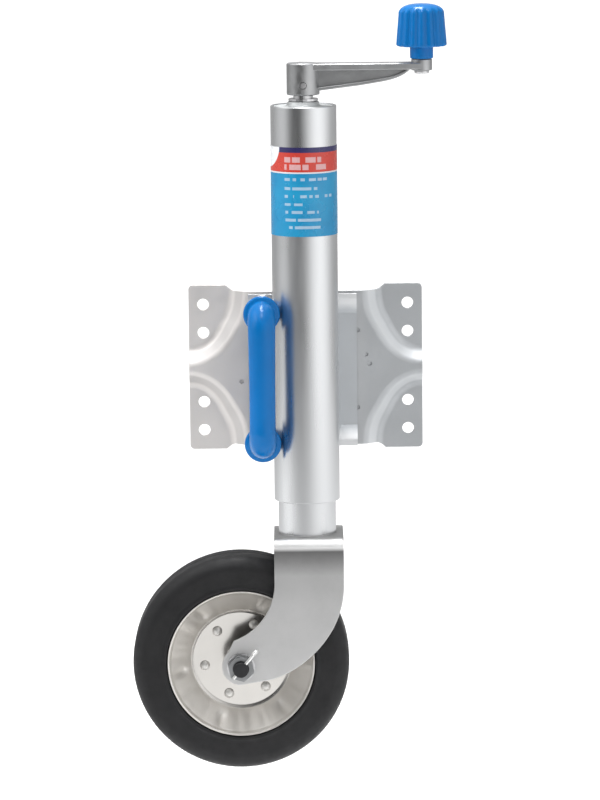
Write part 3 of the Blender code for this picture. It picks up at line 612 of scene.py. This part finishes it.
def build_swivel_plate():
    """Joggled sheet with rounded bends; the web lies on the bracket, the tabs carry the tube."""
    thick = 4 * MM
    back, tab = SWIVEL_HIGH.y, SWIVEL_LOW.y + thick
    top, outer, inner = SWIVEL_HIGH.z, 66 * MM, 52.5 * MM
    rear = [(tab, -top), (tab, -outer), (back, -inner), (back, inner), (tab, outer), (tab, top)]
    front = [(y - thick, z) for y, z in reversed(rear)]
    radii = [radius * MM for radius in (0, 2.5, 5, 5, 2.5, 0, 0, 6, 2.5, 2.5, 6, 0)]
    plate = prism("swivel_sheet", rounded(rear + front, radii, 5), SWIVEL_LOW.x, SWIVEL_HIGH.x, axis=0)
    holes = [rod(9.3, 10, 40, along_y(HANDLE_X, z)) for _, z in PIN_PLACES]
    combine(plate, holes + [rod(8.3, 10, 40, along_y(0, 0))])
    dress(eased(plate, 0.9, 3, 50), ZINC_SWIVEL, "jack", "zinc_plate", "swivel_plate", sharp=40)


def bead(name, path, radius, body, seed, sides=10):
    """A weld bead: a lumpy round fillet with rippled solidified waves along its path."""
    radii = []
    for index, point in enumerate(path):
        ends = min(index, len(path) - 1 - index)
        taper = min(1.0, 0.45 + 0.2 * ends)
        ripple = 0.1 * math.cos(index * 2.1) + 0.14 * noise.noise(point * 180 + Vector((seed, 0, 0)))
        radii.append(radius * taper * (1 + ripple))
    dress(swept(name, path, radii, sides), WELD, body, "zinc_plate", sharp=70)


def build_tube():
    bore, wall = 27.85, TUBE_RADIUS / MM
    low, high = heights("outer_tube")
    profile = [(bore, high), (wall, high), (wall, low), (bore, low)]
    tube = turned("main_tube", profile, [0.5, 1.0, 0.6, 0.4], 4, 160, TUBE_PLACE, ring=True)
    dress(tube, ZINC_TUBE, "jack", "zinc_tube", "outer_tube")
    low, high = heights("tube_cap")
    neck, edge = 9.3, bore - 0.3
    cap = [(neck, high), (14, high), (15.5, high - 4), (edge, high - 4.5), (edge, low), (neck, low)]
    top = turned("tube_end_cap", cap, [0.4, 1.5, 2, 1, 0.5, 0.3], 4, 96, TUBE_PLACE, ring=True)
    dress(top, ZINC_PLATE, "jack", "zinc_plate", "tube_cap")
    tab = SWIVEL_LOW.y
    reach = math.sqrt(TUBE_RADIUS ** 2 - (tab - 1.6 * MM - TUBE.y) ** 2)
    for word, z0, z1 in (("upper", 65 * MM, 70.5 * MM), ("lower", -70.5 * MM, -65 * MM)):
        for side_word, side in (("right", 1), ("left", -1)):
            x, y = TUBE.x + side * (reach + 0.6 * MM), tab - 1.4 * MM
            path = [Vector((x, y, z0)).lerp(Vector((x, y, z1)), k / 4) for k in range(5)]
            bead(f"tube_weld_{word}_{side_word}", path, 2.2 * MM, "jack", 3)


def label_material():
    """Printed film: navy, red and blue fields with broken pale rules, and a pale corner."""
    material, nodes = painted("label_print")
    low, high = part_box("label")
    times, pale = nodes.times, (0.66, 0.68, 0.71, 1.0)

    def within(value, start, end):
        return times(nodes.math("GREATER_THAN", value, start), nodes.math("LESS_THAN", value, end))

    height = nodes.math("DIVIDE", nodes.less(nodes.axis("Z"), low.z), high.z - low.z)
    across = nodes.math("ARCTAN2", nodes.less(nodes.axis("X"), TUBE.x), nodes.less(TUBE.y, nodes.axis("Y")))
    line_low, line_high, navy_low = 0.705, 0.722, 0.938
    blue = nodes.ramp(nodes.noise(25.0, 2.0), [(0.35, (0.0, 0.19, 0.39)), (0.65, (0.004, 0.245, 0.45))])
    stops = [(0.0, (0.0, 0.18, 0.4)), (line_low, (0.6, 0.61, 0.63)), (line_high, (0.47, 0.036, 0.022)),
             (navy_low, (0.022, 0.018, 0.088))]
    fields = nodes.ramp(height, stops, "CONSTANT")
    colour = nodes.mix(fields, blue, within(height, -1.0, line_low))
    # each rule: height and half thickness as shares of the label's height, start and end angle in radians
    rules = [(0.862, 0.03, -0.62, 0.66), (0.78, 0.03, -0.62, 0.8), (0.642, 0.016, -0.62, 0.75),
             (0.54, 0.016, -0.62, 0.42), (0.452, 0.016, -0.62, 0.95), (0.362, 0.014, -0.62, -0.05),
             (0.275, 0.016, -0.6, 0.5), (0.188, 0.016, -0.6, 0.52), (0.104, 0.016, -0.6, 0.5)]
    strength = 0.42
    for row, (level, half, start, end) in enumerate(rules):
        dashes = nodes.math("GREATER_THAN", nodes.noise(230.0, 0.0, (1, 1, 0), 0.03 * row), 0.42)
        rule = times(within(height, level - half, level + half), within(across, start, end))
        colour = nodes.mix(colour, pale, times(times(rule, dashes), strength))
    away = nodes.math("POWER", nodes.math("ADD", across, 1.45), 2.0)
    drop = nodes.math("POWER", times(nodes.less(1.0, height), 2.7), 2.0)
    corner = nodes.math("LESS_THAN", nodes.math("ADD", away, drop), 0.4)
    colour = nodes.mix(colour, (0.66, 0.68, 0.7, 1.0), corner)
    nodes.shade({"Base Color": colour, "Specular IOR Level": 0.5,
                 "Roughness": nodes.spread(nodes.noise(60.0), 0.22, 0.3)}, nodes.noise(300.0, 2.0), 0.015)
    return material


def build_label():
    """The film goes most of the way round the tube; its ends are at the back."""
    low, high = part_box("label")
    inner, start, end = TUBE_RADIUS + 0.05 * MM, -205, 25
    outline = arc((TUBE.x, TUBE.y), inner + 0.25 * MM, start, end, 120)
    outline += arc((TUBE.x, TUBE.y), inner, end, start, 120)
    film = prism("printed_label", outline, low.z, high.z, axis=2)
    dress(film, label_material(), "jack", "label_film", "label")


def build_locks():
    shell = [(9.0, 54.0), (9.0, 17.0), (5.3, 17.0), (5.3, 20.0), (6.8, 20.0), (6.8, 54.0)]
    pin = [(0, 66.0), (5.0, 66.0), (5.0, 23.5), (6.4, 23.5), (6.4, 20.5), (5.0, 20.5), (5.0, 17.5),
           (4.2, 15.6), (0, 15.6)]
    coils, per_coil = 8, 28
    for word, z in PIN_PLACES:
        place = along_y(HANDLE_X, z)
        housing = turned(f"lock_housing_{word}", shell, 0.5, 3, 64, place, ring=True)
        dress(housing, ZINC_PLATE, "jack", "zinc_plate", f"pin_housing_{word}")
        bush = disc_ring(f"lock_bush_{word}", 5.3, 6.5, 49.5, 53.7, place)
        dress(bush, NYLON, "jack", "nylon", f"pin_bush_{word}")
        bolt = turned(f"lock_bolt_{word}", pin, 0.3, 2, 48, place)
        dress(bolt, STEEL, "handle", "bright_steel", f"lock_pin_{word}")
        path = ring_path(place, 5.9 * MM, 24.6 * MM, 360 * coils, coils * per_coil, 24 * MM)
        spring = swept(f"lock_spring_{word}", path, [0.45 * MM] * len(path), 8)
        dress(spring, STEEL, "jack", "bright_steel", f"pin_spring_{word}")
        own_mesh(spring)
        bead(f"housing_weld_{word}", ring_path(place, 9.4 * MM, 29 * MM, 350, 56), 1.3 * MM, "jack", 7, 8)


def build_handle():
    """D-shaped moulded handle: legs with broad round collars, tight elbows and a straight grip."""
    grip, bend, waist, steps, stops = 12.5 * MM, 14 * MM, 0.25 * MM, 14, 10
    grip_y = -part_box("lock_handle")[0].y - grip
    straight = PIN_Z - bend
    collar = size("lock_handle").x / 2 / MM
    stations = metres([(54.4, 8.4), (55.2, 9.0), (77.0, 9.0), (78.6, 9.8), (79.2, 12.5),
                       (79.2, collar - 1.6), (79.7, collar - 0.5), (80.8, collar), (82.6, collar),
                       (83.8, collar - 0.6), (84.4, collar - 1.8), (84.7, 13.7)])
    half = [(Vector((HANDLE_X, -out, PIN_Z)), Vector((0, -1, 0)), radius) for out, radius in stations]
    for angle in quarter(steps):
        sine, cosine = math.sin(angle), math.cos(angle)
        point = Vector((HANDLE_X, -(grip_y - bend) - bend * sine, PIN_Z - bend * (1 - cosine)))
        half.append((point, Vector((0, -cosine, -sine)), grip + 0.2 * MM * math.sin(2 * angle)))
    down = Vector((0, 0, -1))
    for k in range(1, stops):
        slim = waist * math.sin(math.pi * k / stops / 2)
        half.append((Vector((HANDLE_X, -grip_y, straight * (1 - k / stops))), down, grip - slim))
    middle = (Vector((HANDLE_X, -grip_y, 0)), down, grip - waist)
    mirrored = [(Vector((p.x, p.y, -p.z)), Vector((0, -t.y, t.z)), r) for p, t, r in reversed(half)]
    across = Vector((1, 0, 0))
    rings = [ring_about(p, across, t.cross(across), r, 64) for p, t, r in half + [middle] + mirrored]
    collar_face, taper_from, taper_over = -85.5 * MM, 40 * MM, 80 * MM
    for spot in (spot for ring in rings for spot in ring if spot.y < collar_face):
        slim = 1 - 0.035 * smooth_step((taper_from - spot.z) / taper_over)
        middle_y = -grip_y if abs(spot.z) < straight else spot.y
        spot.x = HANDLE_X + (spot.x - HANDLE_X) * slim
        spot.y = middle_y + (spot.y - middle_y) * slim
    handle = skinned("d_handle", rings)
    combine(handle, [rod(5.3, 50, 66.3, along_y(HANDLE_X, z)) for _, z in PIN_PLACES])
    dress(handle, BLUE, "handle", "blue_plastic", "lock_handle", sharp=60)


# ---- crank

def build_crank():
    knob_place = Matrix.Translation((KNOB.x, TUBE.y, 0))
    top, hub_radius, low = 287.3, 15.0, heights("crank_arm")[0]
    hub = [(0, top), (hub_radius, top), (hub_radius, low), (0, low)]
    crank = turned("crank_lever", hub, [0, 1.4, 1.2, 0], 5, 96, TUBE_PLACE)
    roof = (top - 6.5) * MM
    root, tip = 12 * MM, 9.5 * MM
    plan = [(TUBE.x, TUBE.y - root), (KNOB.x, TUBE.y - tip)] + arc((KNOB.x, TUBE.y), tip, -80, 80, 24)
    plan += [(KNOB.x, TUBE.y + tip), (TUBE.x, TUBE.y + root)]
    flange = eased(prism("flange", plan, roof, (top - 0.5) * MM, axis=2), 1.0, 3)
    # lower edge of the arm: nearly straight, then swept up to the tip
    under = metres([(0, 260.5), (50, 266.5)] + bezier((70, 269.6), (84, 272), (92, 275), (98, 281.5), 12))
    web = under + [(98 * MM, roof + 1 * MM), (0, roof + 1 * MM)]
    web = prism("web", web, TUBE.y - 3 * MM, TUBE.y + 3 * MM)
    rim_top = [(x, z + 3 * MM) for x, z in reversed(under)]
    rim = eased(prism("rim", under + rim_top, TUBE.y - 7 * MM, TUBE.y + 7 * MM), 0.9, 3, 50)
    boss = [(0, 289.8), (9.5, 289.8), (9.5, 279.5), (0, 279.5)]
    boss = turned("boss", boss, [0, 0.8, 0.8, 0], 3, 72, knob_place)
    combine(crank, [flange, web, rim, boss], "UNION")
    combine(crank, [rod(8.3, 250, 280.3, TUBE_PLACE, 56), rod(4.3, 270, 300, knob_place, 40),
                    rod(3.3, -20, 20, along_y(TUBE.x, 267.5 * MM, TUBE.y), 32)])
    dress(crank, CAST, "crank", "zinc_plate", "crank_arm", sharp=38)
    for word in ("crank", "collar"):
        node = f"{word}_pin"
        radius, half = size(node).x / 2 / MM, size(node).y / 2 / MM
        profile = [(0, half), (radius, half), (radius, -half), (0, -half)]
        place = along_y(TUBE.x, centre(node).z, TUBE.y)
        pin = turned(f"{word}_dowel", profile, [0, 0.6, 0.6, 0], 3, 40, place)
        dress(pin, STEEL, "crank", "bright_steel", node)


def build_knob():
    """Fluted knob with a domed top; all its lengths are in millimetres."""
    flutes, depth, dome, steps = 16, 1.7, 9.0, 15
    skirt, shoulder, collar, bore = 23.0, 20.8, 10.6, 4.3
    low, high = heights("crank_knob")
    foot, bore_top = 301.5, 326.4
    profile = [(0, high)]
    for angle in quarter(steps)[-2:0:-1]:
        profile.append((shoulder * math.cos(angle) ** 0.72, high - dome + dome * math.sin(angle)))
    profile += [(shoulder + 0.05, high - 10.5), (21.6, 320), (22.4, 311), (skirt - 0.1, foot + 3),
                (skirt, foot + 1.6), (skirt - 0.5, foot + 0.4), (skirt - 1.6, foot), (collar + 1.5, foot),
                (collar + 0.4, foot - 0.4), (collar, foot - 1.5), (collar, low + 0.8), (collar - 0.8, low),
                (bore, low), (bore, bore_top), (0, bore_top)]

    def fluted(radius, height, angle):
        strength = min(1.0, (radius / MM / shoulder - 0.82) / 0.17)
        if height / MM < foot - 0.2 or strength < 0:
            return radius, height
        groove = (0.5 - 0.5 * math.cos(flutes * angle)) ** 1.6
        return radius - depth * MM * strength * groove, height

    place = Matrix.Translation((KNOB.x, KNOB.y, 0))
    knob = lathe("fluted_knob", metres(profile), flutes * 14, place, wave=fluted)
    dress(knob, BLUE, "knob", "blue_plastic", "crank_knob", sharp=50)
    stud = [(0, 326.0), (4.0, 326.0), (4.0, 279.2), (7.0, 279.2), (6.4, 276.6), (0, 276.0)]
    rivet = turned("knob_rivet", stud, [0, 0.4, 0.2, 0.5, 1.2, 0], 4, 48, place)
    dress(rivet, STEEL, "crank", "bright_steel", "knob_stud")


# ---- leg

def build_leg():
    low, high = heights("inner_tube")
    outer, bore = size("inner_tube").x / 2 / MM, 23.5
    profile = [(bore, high), (outer, high), (outer, low), (bore, low)]
    tube = turned("sliding_tube", profile, 0.8, 3, 144, TUBE_PLACE, ring=True)
    dress(tube, ZINC_TUBE, "leg", "zinc_tube", "inner_tube")
    path = ring_path(TUBE_PLACE, (outer + 0.35) * MM, FORK_HIGH.z + 0.25 * MM, 359, 150)
    bead("crown_weld", path, 0.5 * MM, "leg", 11)


def leg_outline():
    """Front view of a fork leg: straight down, swept back, then round the axle's end."""
    left = metres(bezier((-31, -190), (-32, -212), (-46, -233), (-69, -241), 28))
    end = arc((WHEEL.x, WHEEL.z), 17.5 * MM, 130, 265, 28)
    right = metres(bezier((-46, -279.5), (-12, -277), (33, -240), (33, -190), 40))
    top = FORK_HIGH.z + 10 * MM
    return [(-31 * MM, top)] + left + end + right + [(33 * MM, top)]


def build_fork():
    """A strap bent over the wheel, cut to the legs' outline."""
    bend, thick, wide = 9 * MM, 5 * MM, 60 * MM
    low, top, half = FORK_LOW.z - 20 * MM, FORK_HIGH.z, (FORK_HIGH.y - FORK_LOW.y) / 2
    inner, front, rear = half - thick, TUBE.y - half + bend, TUBE.y + half - bend
    section = [(TUBE.y - half, low)] + arc((front, top - bend), bend, 180, 90, 12)
    section += arc((rear, top - bend), bend, 90, 0, 12) + [(TUBE.y + half, low)]
    section += [(TUBE.y + inner, low)] + arc((rear, top - bend), bend - thick, 0, 90, 12)
    section += arc((front, top - bend), bend - thick, 90, 180, 12) + [(TUBE.y - inner, low)]
    fork = prism("wheel_fork", section, -120 * MM, 60 * MM, axis=0)
    combine(fork, [prism("blank", leg_outline(), TUBE.y - wide, TUBE.y + wide)], "INTERSECT")
    combine(fork, [rod(7.3, -60, 60, along_y(WHEEL.x, WHEEL.z, WHEEL.y), 56)])
    dress(eased(fork, 1.0, 3, 50), ZINC_FORK, "leg", "zinc_plate", "fork", sharp=40)


# ---- wheel

def build_axle():
    """Axle bolt, washers, nut and split pin; all lengths are in millimetres, from the wheel's middle."""
    place = along_y(WHEEL.x, WHEEL.z, WHEEL.y)
    radius, flats, face, thick, end = 7.0, 22.0, 38.3, 1.8, 54.5
    bore, seat = radius + 0.3, face + thick + 0.3
    nut_face, chamfer, pin_out = seat + 7.9, 3.4, 50.6
    outline = hexagon(flats * MM, (WHEEL.x, WHEEL.z), 42)
    shank = [(0, end), (radius, end), (radius, -seat - 0.1), (0, -seat - 0.1)]
    axle = turned("wheel_axle_bolt", shank, [0, 1.2, 0, 0], 4, 56, place)
    head = prism("head", outline, WHEEL.y + seat * MM, WHEEL.y + (seat + 9.9) * MM)
    combine(axle, [head], "UNION")
    pin_place = Matrix.Translation((WHEEL.x, WHEEL.y - pin_out * MM, WHEEL.z))
    pin_place = pin_place @ Matrix.Rotation(math.radians(40), 4, "Y")
    combine(axle, [rod(1.9, -20, 20, pin_place, 24)])
    dress(eased(axle, 0.4), BLACK, "leg", "black_steel", "axle_bolt")
    for word, start in (("front", face), ("rear", -face - thick)):
        washer = disc_ring(f"fork_washer_{word}", bore, 13, start, start + thick, place, 0.4)
        dress(washer, STEEL, "leg", "bright_steel", f"axle_washer_{word}")
    nut = prism("wheel_axle_nut", outline, WHEEL.y - nut_face * MM, WHEEL.y - seat * MM)
    wide, narrow = flats / 2 + 5, flats / 2 - 0.4
    cone = [(0, 70), (narrow, 70), (narrow, nut_face), (wide, nut_face - chamfer), (wide, 20), (0, 20)]
    combine(nut, [lathe("cone", metres(cone), 64, place)], "INTERSECT")
    combine(nut, [rod(bore, 30, 60, place, 56)])
    dress(eased(nut, 0.3), NUT, "leg", "bright_steel", "axle_nut")
    wire, eye, top, turn = 1.45, 2.3, 20.4, math.radians(68)
    points = [(0, 0, -10.9), (0, 0, 0), (0, 0, top - eye)]
    for k in range(27):
        angle = 2 * math.pi * k / 28
        side = eye * math.sin(angle)
        points.append((side * math.cos(turn), side * math.sin(turn), top - eye * math.cos(angle)))
    path = [pin_place @ Vector(point) for point in metres(points)]
    pin = swept("axle_split_pin", path, [wire * MM] * len(path), 16)
    dress(pin, BRIGHT, "leg", "bright_steel", "split_pin")


def rim_wave(side):
    """Six dents pressed into the cone, one outside each rivet, and slight radial ripples."""
    cone_start, cone_end, dent_circle, dent_depth, ripple_depth = 47, 67.5, 56.5, 2.3, 0.35

    def wave(radius, height, angle):
        out = radius / MM
        dent = 0.0
        for degrees in RIVET_ANGLES:
            turn = (angle - math.radians(degrees) + math.pi) % (2 * math.pi) - math.pi
            dent += math.exp(-(turn * out / 3.4) ** 2 - ((out - dent_circle) / 6.5) ** 2)
        spot = Vector((math.cos(angle), math.sin(angle), 0.0))
        ripple = 2.2 * noise.noise(spot * 4.1) + 2.0 * noise.noise(spot * 9.3)
        on_cone = smooth_step((out - cone_start) / 8) * smooth_step((cone_end - out) / 4)
        return radius, height + side * on_cone * (ripple_depth * ripple - dent_depth * dent) * MM
    return wave


def rivet_place(degrees):
    angle, circle = math.radians(degrees), 34.5 * MM
    return along_y(WHEEL.x + circle * math.cos(angle), WHEEL.z + circle * math.sin(angle), WHEEL.y)


def build_rims():
    """Two pressed discs back to back and the rivets through both, profiles in millimetres."""
    place = along_y(WHEEL.x, WHEEL.z, WHEEL.y)
    face = [(14.4, 2.65), (44, 2.65), (47.0, 3.9), (64.6, 21.9), (66.4, 24.6), (68.1, 25.5)]
    back = [(68.1, 24.0), (67.9, 22.6), (66.2, 20.3), (48.9, 2.6), (45.3, 0.15), (14.4, 0.15)]
    radii = [radius * MM for radius in (0.4, 4.0, 4.0, 3.0, 2.0, 0.6, 0.5, 1.0, 2.5, 2.0, 1.5, 0.3)]
    for word, side in (("front", 1), ("rear", -1)):
        profile = rounded(metres([(r, s * side) for r, s in face + back]), radii, 5)
        profile = refined(profile, 1.6 * MM)
        rim = lathe(f"wheel_disc_{word}", profile, 200, place, ring=True, wave=rim_wave(side))
        combine(rim, [rod(3.3, -10, 10, rivet_place(degrees), 24) for degrees in RIVET_ANGLES])
        dress(rim, ZINC_RIM, "wheel", "zinc_rim", f"rim_{word}", sharp=50)
    half = [(4.6 * math.sin(a), 2.95 + 3.05 * math.cos(a)) for a in quarter(8)] + [(4.5, 2.9), (3.0, 2.9)]
    profile = metres(half + [(r, -s) for r, s in reversed(half)])
    for number, degrees in enumerate(RIVET_ANGLES):
        rivet = lathe(f"disc_rivet_{number + 1}", profile, 40, rivet_place(degrees))
        dress(rivet, ZINC_RIVET, "wheel", "zinc_rim", f"rim_rivet_{number + 1}", sharp=60)


def build_tyre():
    """Solid tyre: its section in millimetres, from the rim's seat over the bead to the tread."""
    place = along_y(WHEEL.x, WHEEL.z, WHEEL.y)
    radius, half_width, corner = size("tyre").x / 2 / MM, size("tyre").y / 2 / MM, 14.0
    inner = [(47.6, 0.0), (49.6, 2.2), (66.9, 19.9), (68.9, 22.3), (68.9, 25.7)]
    side = [(69.3, 26.6), (70.1, 27.2), (71.2, 27.4), (72.2, 27.1), (72.8, 26.6), (75.0, 26.7),
            (84.5, 27.3)]
    shoulder = [(radius - corner + corner * math.sin(a), half_width - corner + corner * math.cos(a))
                for a in quarter(16)[1:-1]]
    tread = [(radius, 12.0), (radius, 0.9), (radius - 0.25, 0.5), (radius - 0.25, 0.0)]
    half = inner + side + shoulder + tread
    profile = metres(half + [(r, -s) for r, s in half[-2:0:-1]])
    tyre = lathe("solid_tyre", profile, 200, place, ring=True)
    dress(tyre, RUBBER, "wheel", "tyre_rubber", "tyre", sharp=50)


# ---- carried-over nodes

def paint_kept_nodes():
    """Hidden and inner pieces keep their CAD shape and get a finished material."""
    finishes = ((NYLON, ("guide_sleeve", "wheel_bush_front", "wheel_bush_rear")),
                (STEEL, ("lead_screw", "thrust_collar", "hub_washer")),
                (BEARING, ("bearing_race_upper", "bearing_ball_ring", "bearing_race_lower")),
                (BRONZE, ("lead_nut",)), (ZINC_RIM, ("hub_tube",)))
    for material, kept in finishes:
        for node in kept:
            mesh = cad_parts[node].data
            mesh.materials.clear()
            mesh.materials.append(material)


# ---- studio

def build_world():
    """Bright ceiling, dim horizon and a soft window high on the left; angles in degrees."""
    world = bpy.data.worlds.new("studio")
    bpy.context.scene.world = world
    world.use_nodes = True
    nodes = Nodes(world.node_tree, "Generated")
    times = nodes.times
    azimuth = nodes.math("ARCTAN2", nodes.axis("X"), times(nodes.axis("Y"), -1.0))
    elevation = nodes.math("ARCSINE", nodes.axis("Z"))

    def step(value, start, stop):
        return nodes.smooth(value, math.radians(start), math.radians(stop))

    middle, half_width, low, high, soft = -84, 26, 14, 50, 14
    aside = nodes.math("ABSOLUTE", nodes.less(azimuth, math.radians(middle)))
    sides = step(aside, half_width + soft, half_width)
    window = times(times(sides, step(elevation, low - soft, low)), step(elevation, high + soft, high))
    ceiling = times(step(elevation, 38, 66), CEILING)
    total = nodes.math("ADD", nodes.math("ADD", ceiling, times(window, WINDOW)), HORIZON)
    nodes.fill(nodes.tree.nodes["Background"], {"Color": (1.0, 1.0, 1.0, 1.0), "Strength": total})


def build_floor():
    """Pale paper, low enough for the leg to come all the way down."""
    ground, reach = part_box("tyre")[0].z - LEG_TRAVEL - 1 * MM, 30.0
    corners = [(x * reach, y * reach, ground) for x, y in ((-1, -1), (1, -1), (1, 1), (-1, 1))]
    floor = raw("studio_floor", corners, [[0, 1, 2, 3]])
    material, nodes = painted("floor_paper")
    paper = nodes.ramp(nodes.noise(3.0), [(0.3, 0.9), (0.7, 0.92)])
    nodes.fill(nodes.shader, {"Base Color": paper, "Roughness": 0.9, "Specular IOR Level": 0.1,
                              "Emission Color": (1.0, 1.0, 1.0, 1.0), "Emission Strength": 0.26})
    floor.data.materials.append(material)


def build_tent():
    """Light tent round the jack, seen only in reflections: light and dark cards side by side."""
    radius, hem, count, full = 1.3, 0.16, 96, 2.0
    low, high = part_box("tyre")[0].z, 0.95
    upper_end, lower_start, fade_start, fade_end = -0.22, -0.34, 1.1, 0.7
    vertices = []
    for reach, height in ((hem, low + 1 * MM), (radius, low), (radius, high)):
        for k in range(count):
            turn = 2 * math.pi * k / count
            vertices.append((TUBE.x + reach * math.sin(turn), TUBE.y - reach * math.cos(turn), height))
    tent = raw("light_tent", vertices, joined_ring(count, 0, count) + joined_ring(count, count, 2 * count))
    material, nodes = painted("tent_cards")
    nodes.tree.nodes.remove(nodes.shader)
    ahead = nodes.less(TUBE.y, nodes.axis("Y"))
    azimuth = nodes.math("ARCTAN2", nodes.axis("X"), ahead)
    turn = nodes.math("MULTIPLY_ADD", azimuth, 0.5 / math.pi, 0.5)
    upper, lower = (nodes.ramp(turn, [((degrees + 180) / 360, level / full) for degrees, level in levels],
                               "B_SPLINE") for levels in (CARDS, LOW_CARDS))
    cards = nodes.mix(upper, lower, nodes.smooth(nodes.axis("Z"), upper_end, lower_start))
    # over the bright ground sheet the cards fade out towards the middle
    out = nodes.length(nodes.less(nodes.axis("X"), TUBE.x), ahead)
    cards = nodes.mix(cards, (0.62, 0.62, 0.62, 1.0), nodes.smooth(out, fade_start, fade_end))
    glow = nodes.add("Emission", {"Strength": full, "Color": cards})
    nodes.fill(nodes.tree.nodes["Material Output"], {"Surface": glow.outputs["Emission"]})
    tent.data.materials.append(material)
    tent.visible_camera = tent.visible_diffuse = tent.visible_transmission = tent.visible_shadow = False


def build_lights():
    """Soft panels round the tube; azimuth 0 is the user's side, positive to the right."""
    heart = Vector((TUBE.x, TUBE.y, 0.0))
    panels = (("key_panel", -72, 28, 1.7, 1.1, 1.1, 6.5), ("fill_panel", 62, 14, 1.7, 1.0, 1.0, 1.5),
              ("top_panel", 180, 79, 1.6, 0.32, 0.9, 25), ("front_panel", 0, 68, 1.6, 0.4, 0.45, 4.5))
    for name, azimuth, elevation, distance, width, height, power in panels:
        a, e = math.radians(azimuth), math.radians(elevation)
        away = Vector((math.sin(a) * math.cos(e), -math.cos(a) * math.cos(e), math.sin(e)))
        light = bpy.data.lights.new(name, "AREA")
        light.shape = "RECTANGLE"
        light.size, light.size_y, light.energy = width, height, power
        lamp = placed(name, light)
        lamp.location = heart + away * distance
        lamp.rotation_mode = "QUATERNION"
        lamp.rotation_quaternion = away.to_track_quat("Z", "Y")
        lamp.visible_camera = False


def build_camera():
    """Long lens, 9 degrees above the horizon, 4 m from the tube's plane, rolled 0.6 degrees."""
    distance, pitch, roll = 4.0, math.radians(9.0), math.radians(0.6)
    metres_per_pixel, long_side, sensor = 0.92 * MM, 800, 36.0
    aim = Vector((-5.73 * MM, TUBE.y, -23.0 * MM))
    forward = Vector((0, math.cos(pitch), -math.sin(pitch)))
    data = bpy.data.cameras.new("view")
    data.sensor_width = sensor
    data.lens = distance / metres_per_pixel * sensor / long_side
    data.clip_start, data.clip_end = 0.1, 100.0
    camera = placed("view", data)
    camera.location = aim - forward * distance
    camera.rotation_mode = "QUATERNION"
    rolled = Matrix.Rotation(-roll, 4, "Z").to_quaternion()
    camera.rotation_quaternion = forward.to_track_quat("-Z", "Y") @ rolled
    bpy.context.scene.camera = camera
    bpy.context.scene.view_settings.view_transform = "Standard"


build_camera()
build_world()
build_floor()
build_tent()
build_lights()
build_base_plate()
build_pivot()
build_swivel_plate()
build_tube()
build_label()
build_locks()
build_handle()
build_crank()
build_knob()
build_leg()
build_fork()
build_axle()
build_rims()
build_tyre()
paint_kept_nodes()
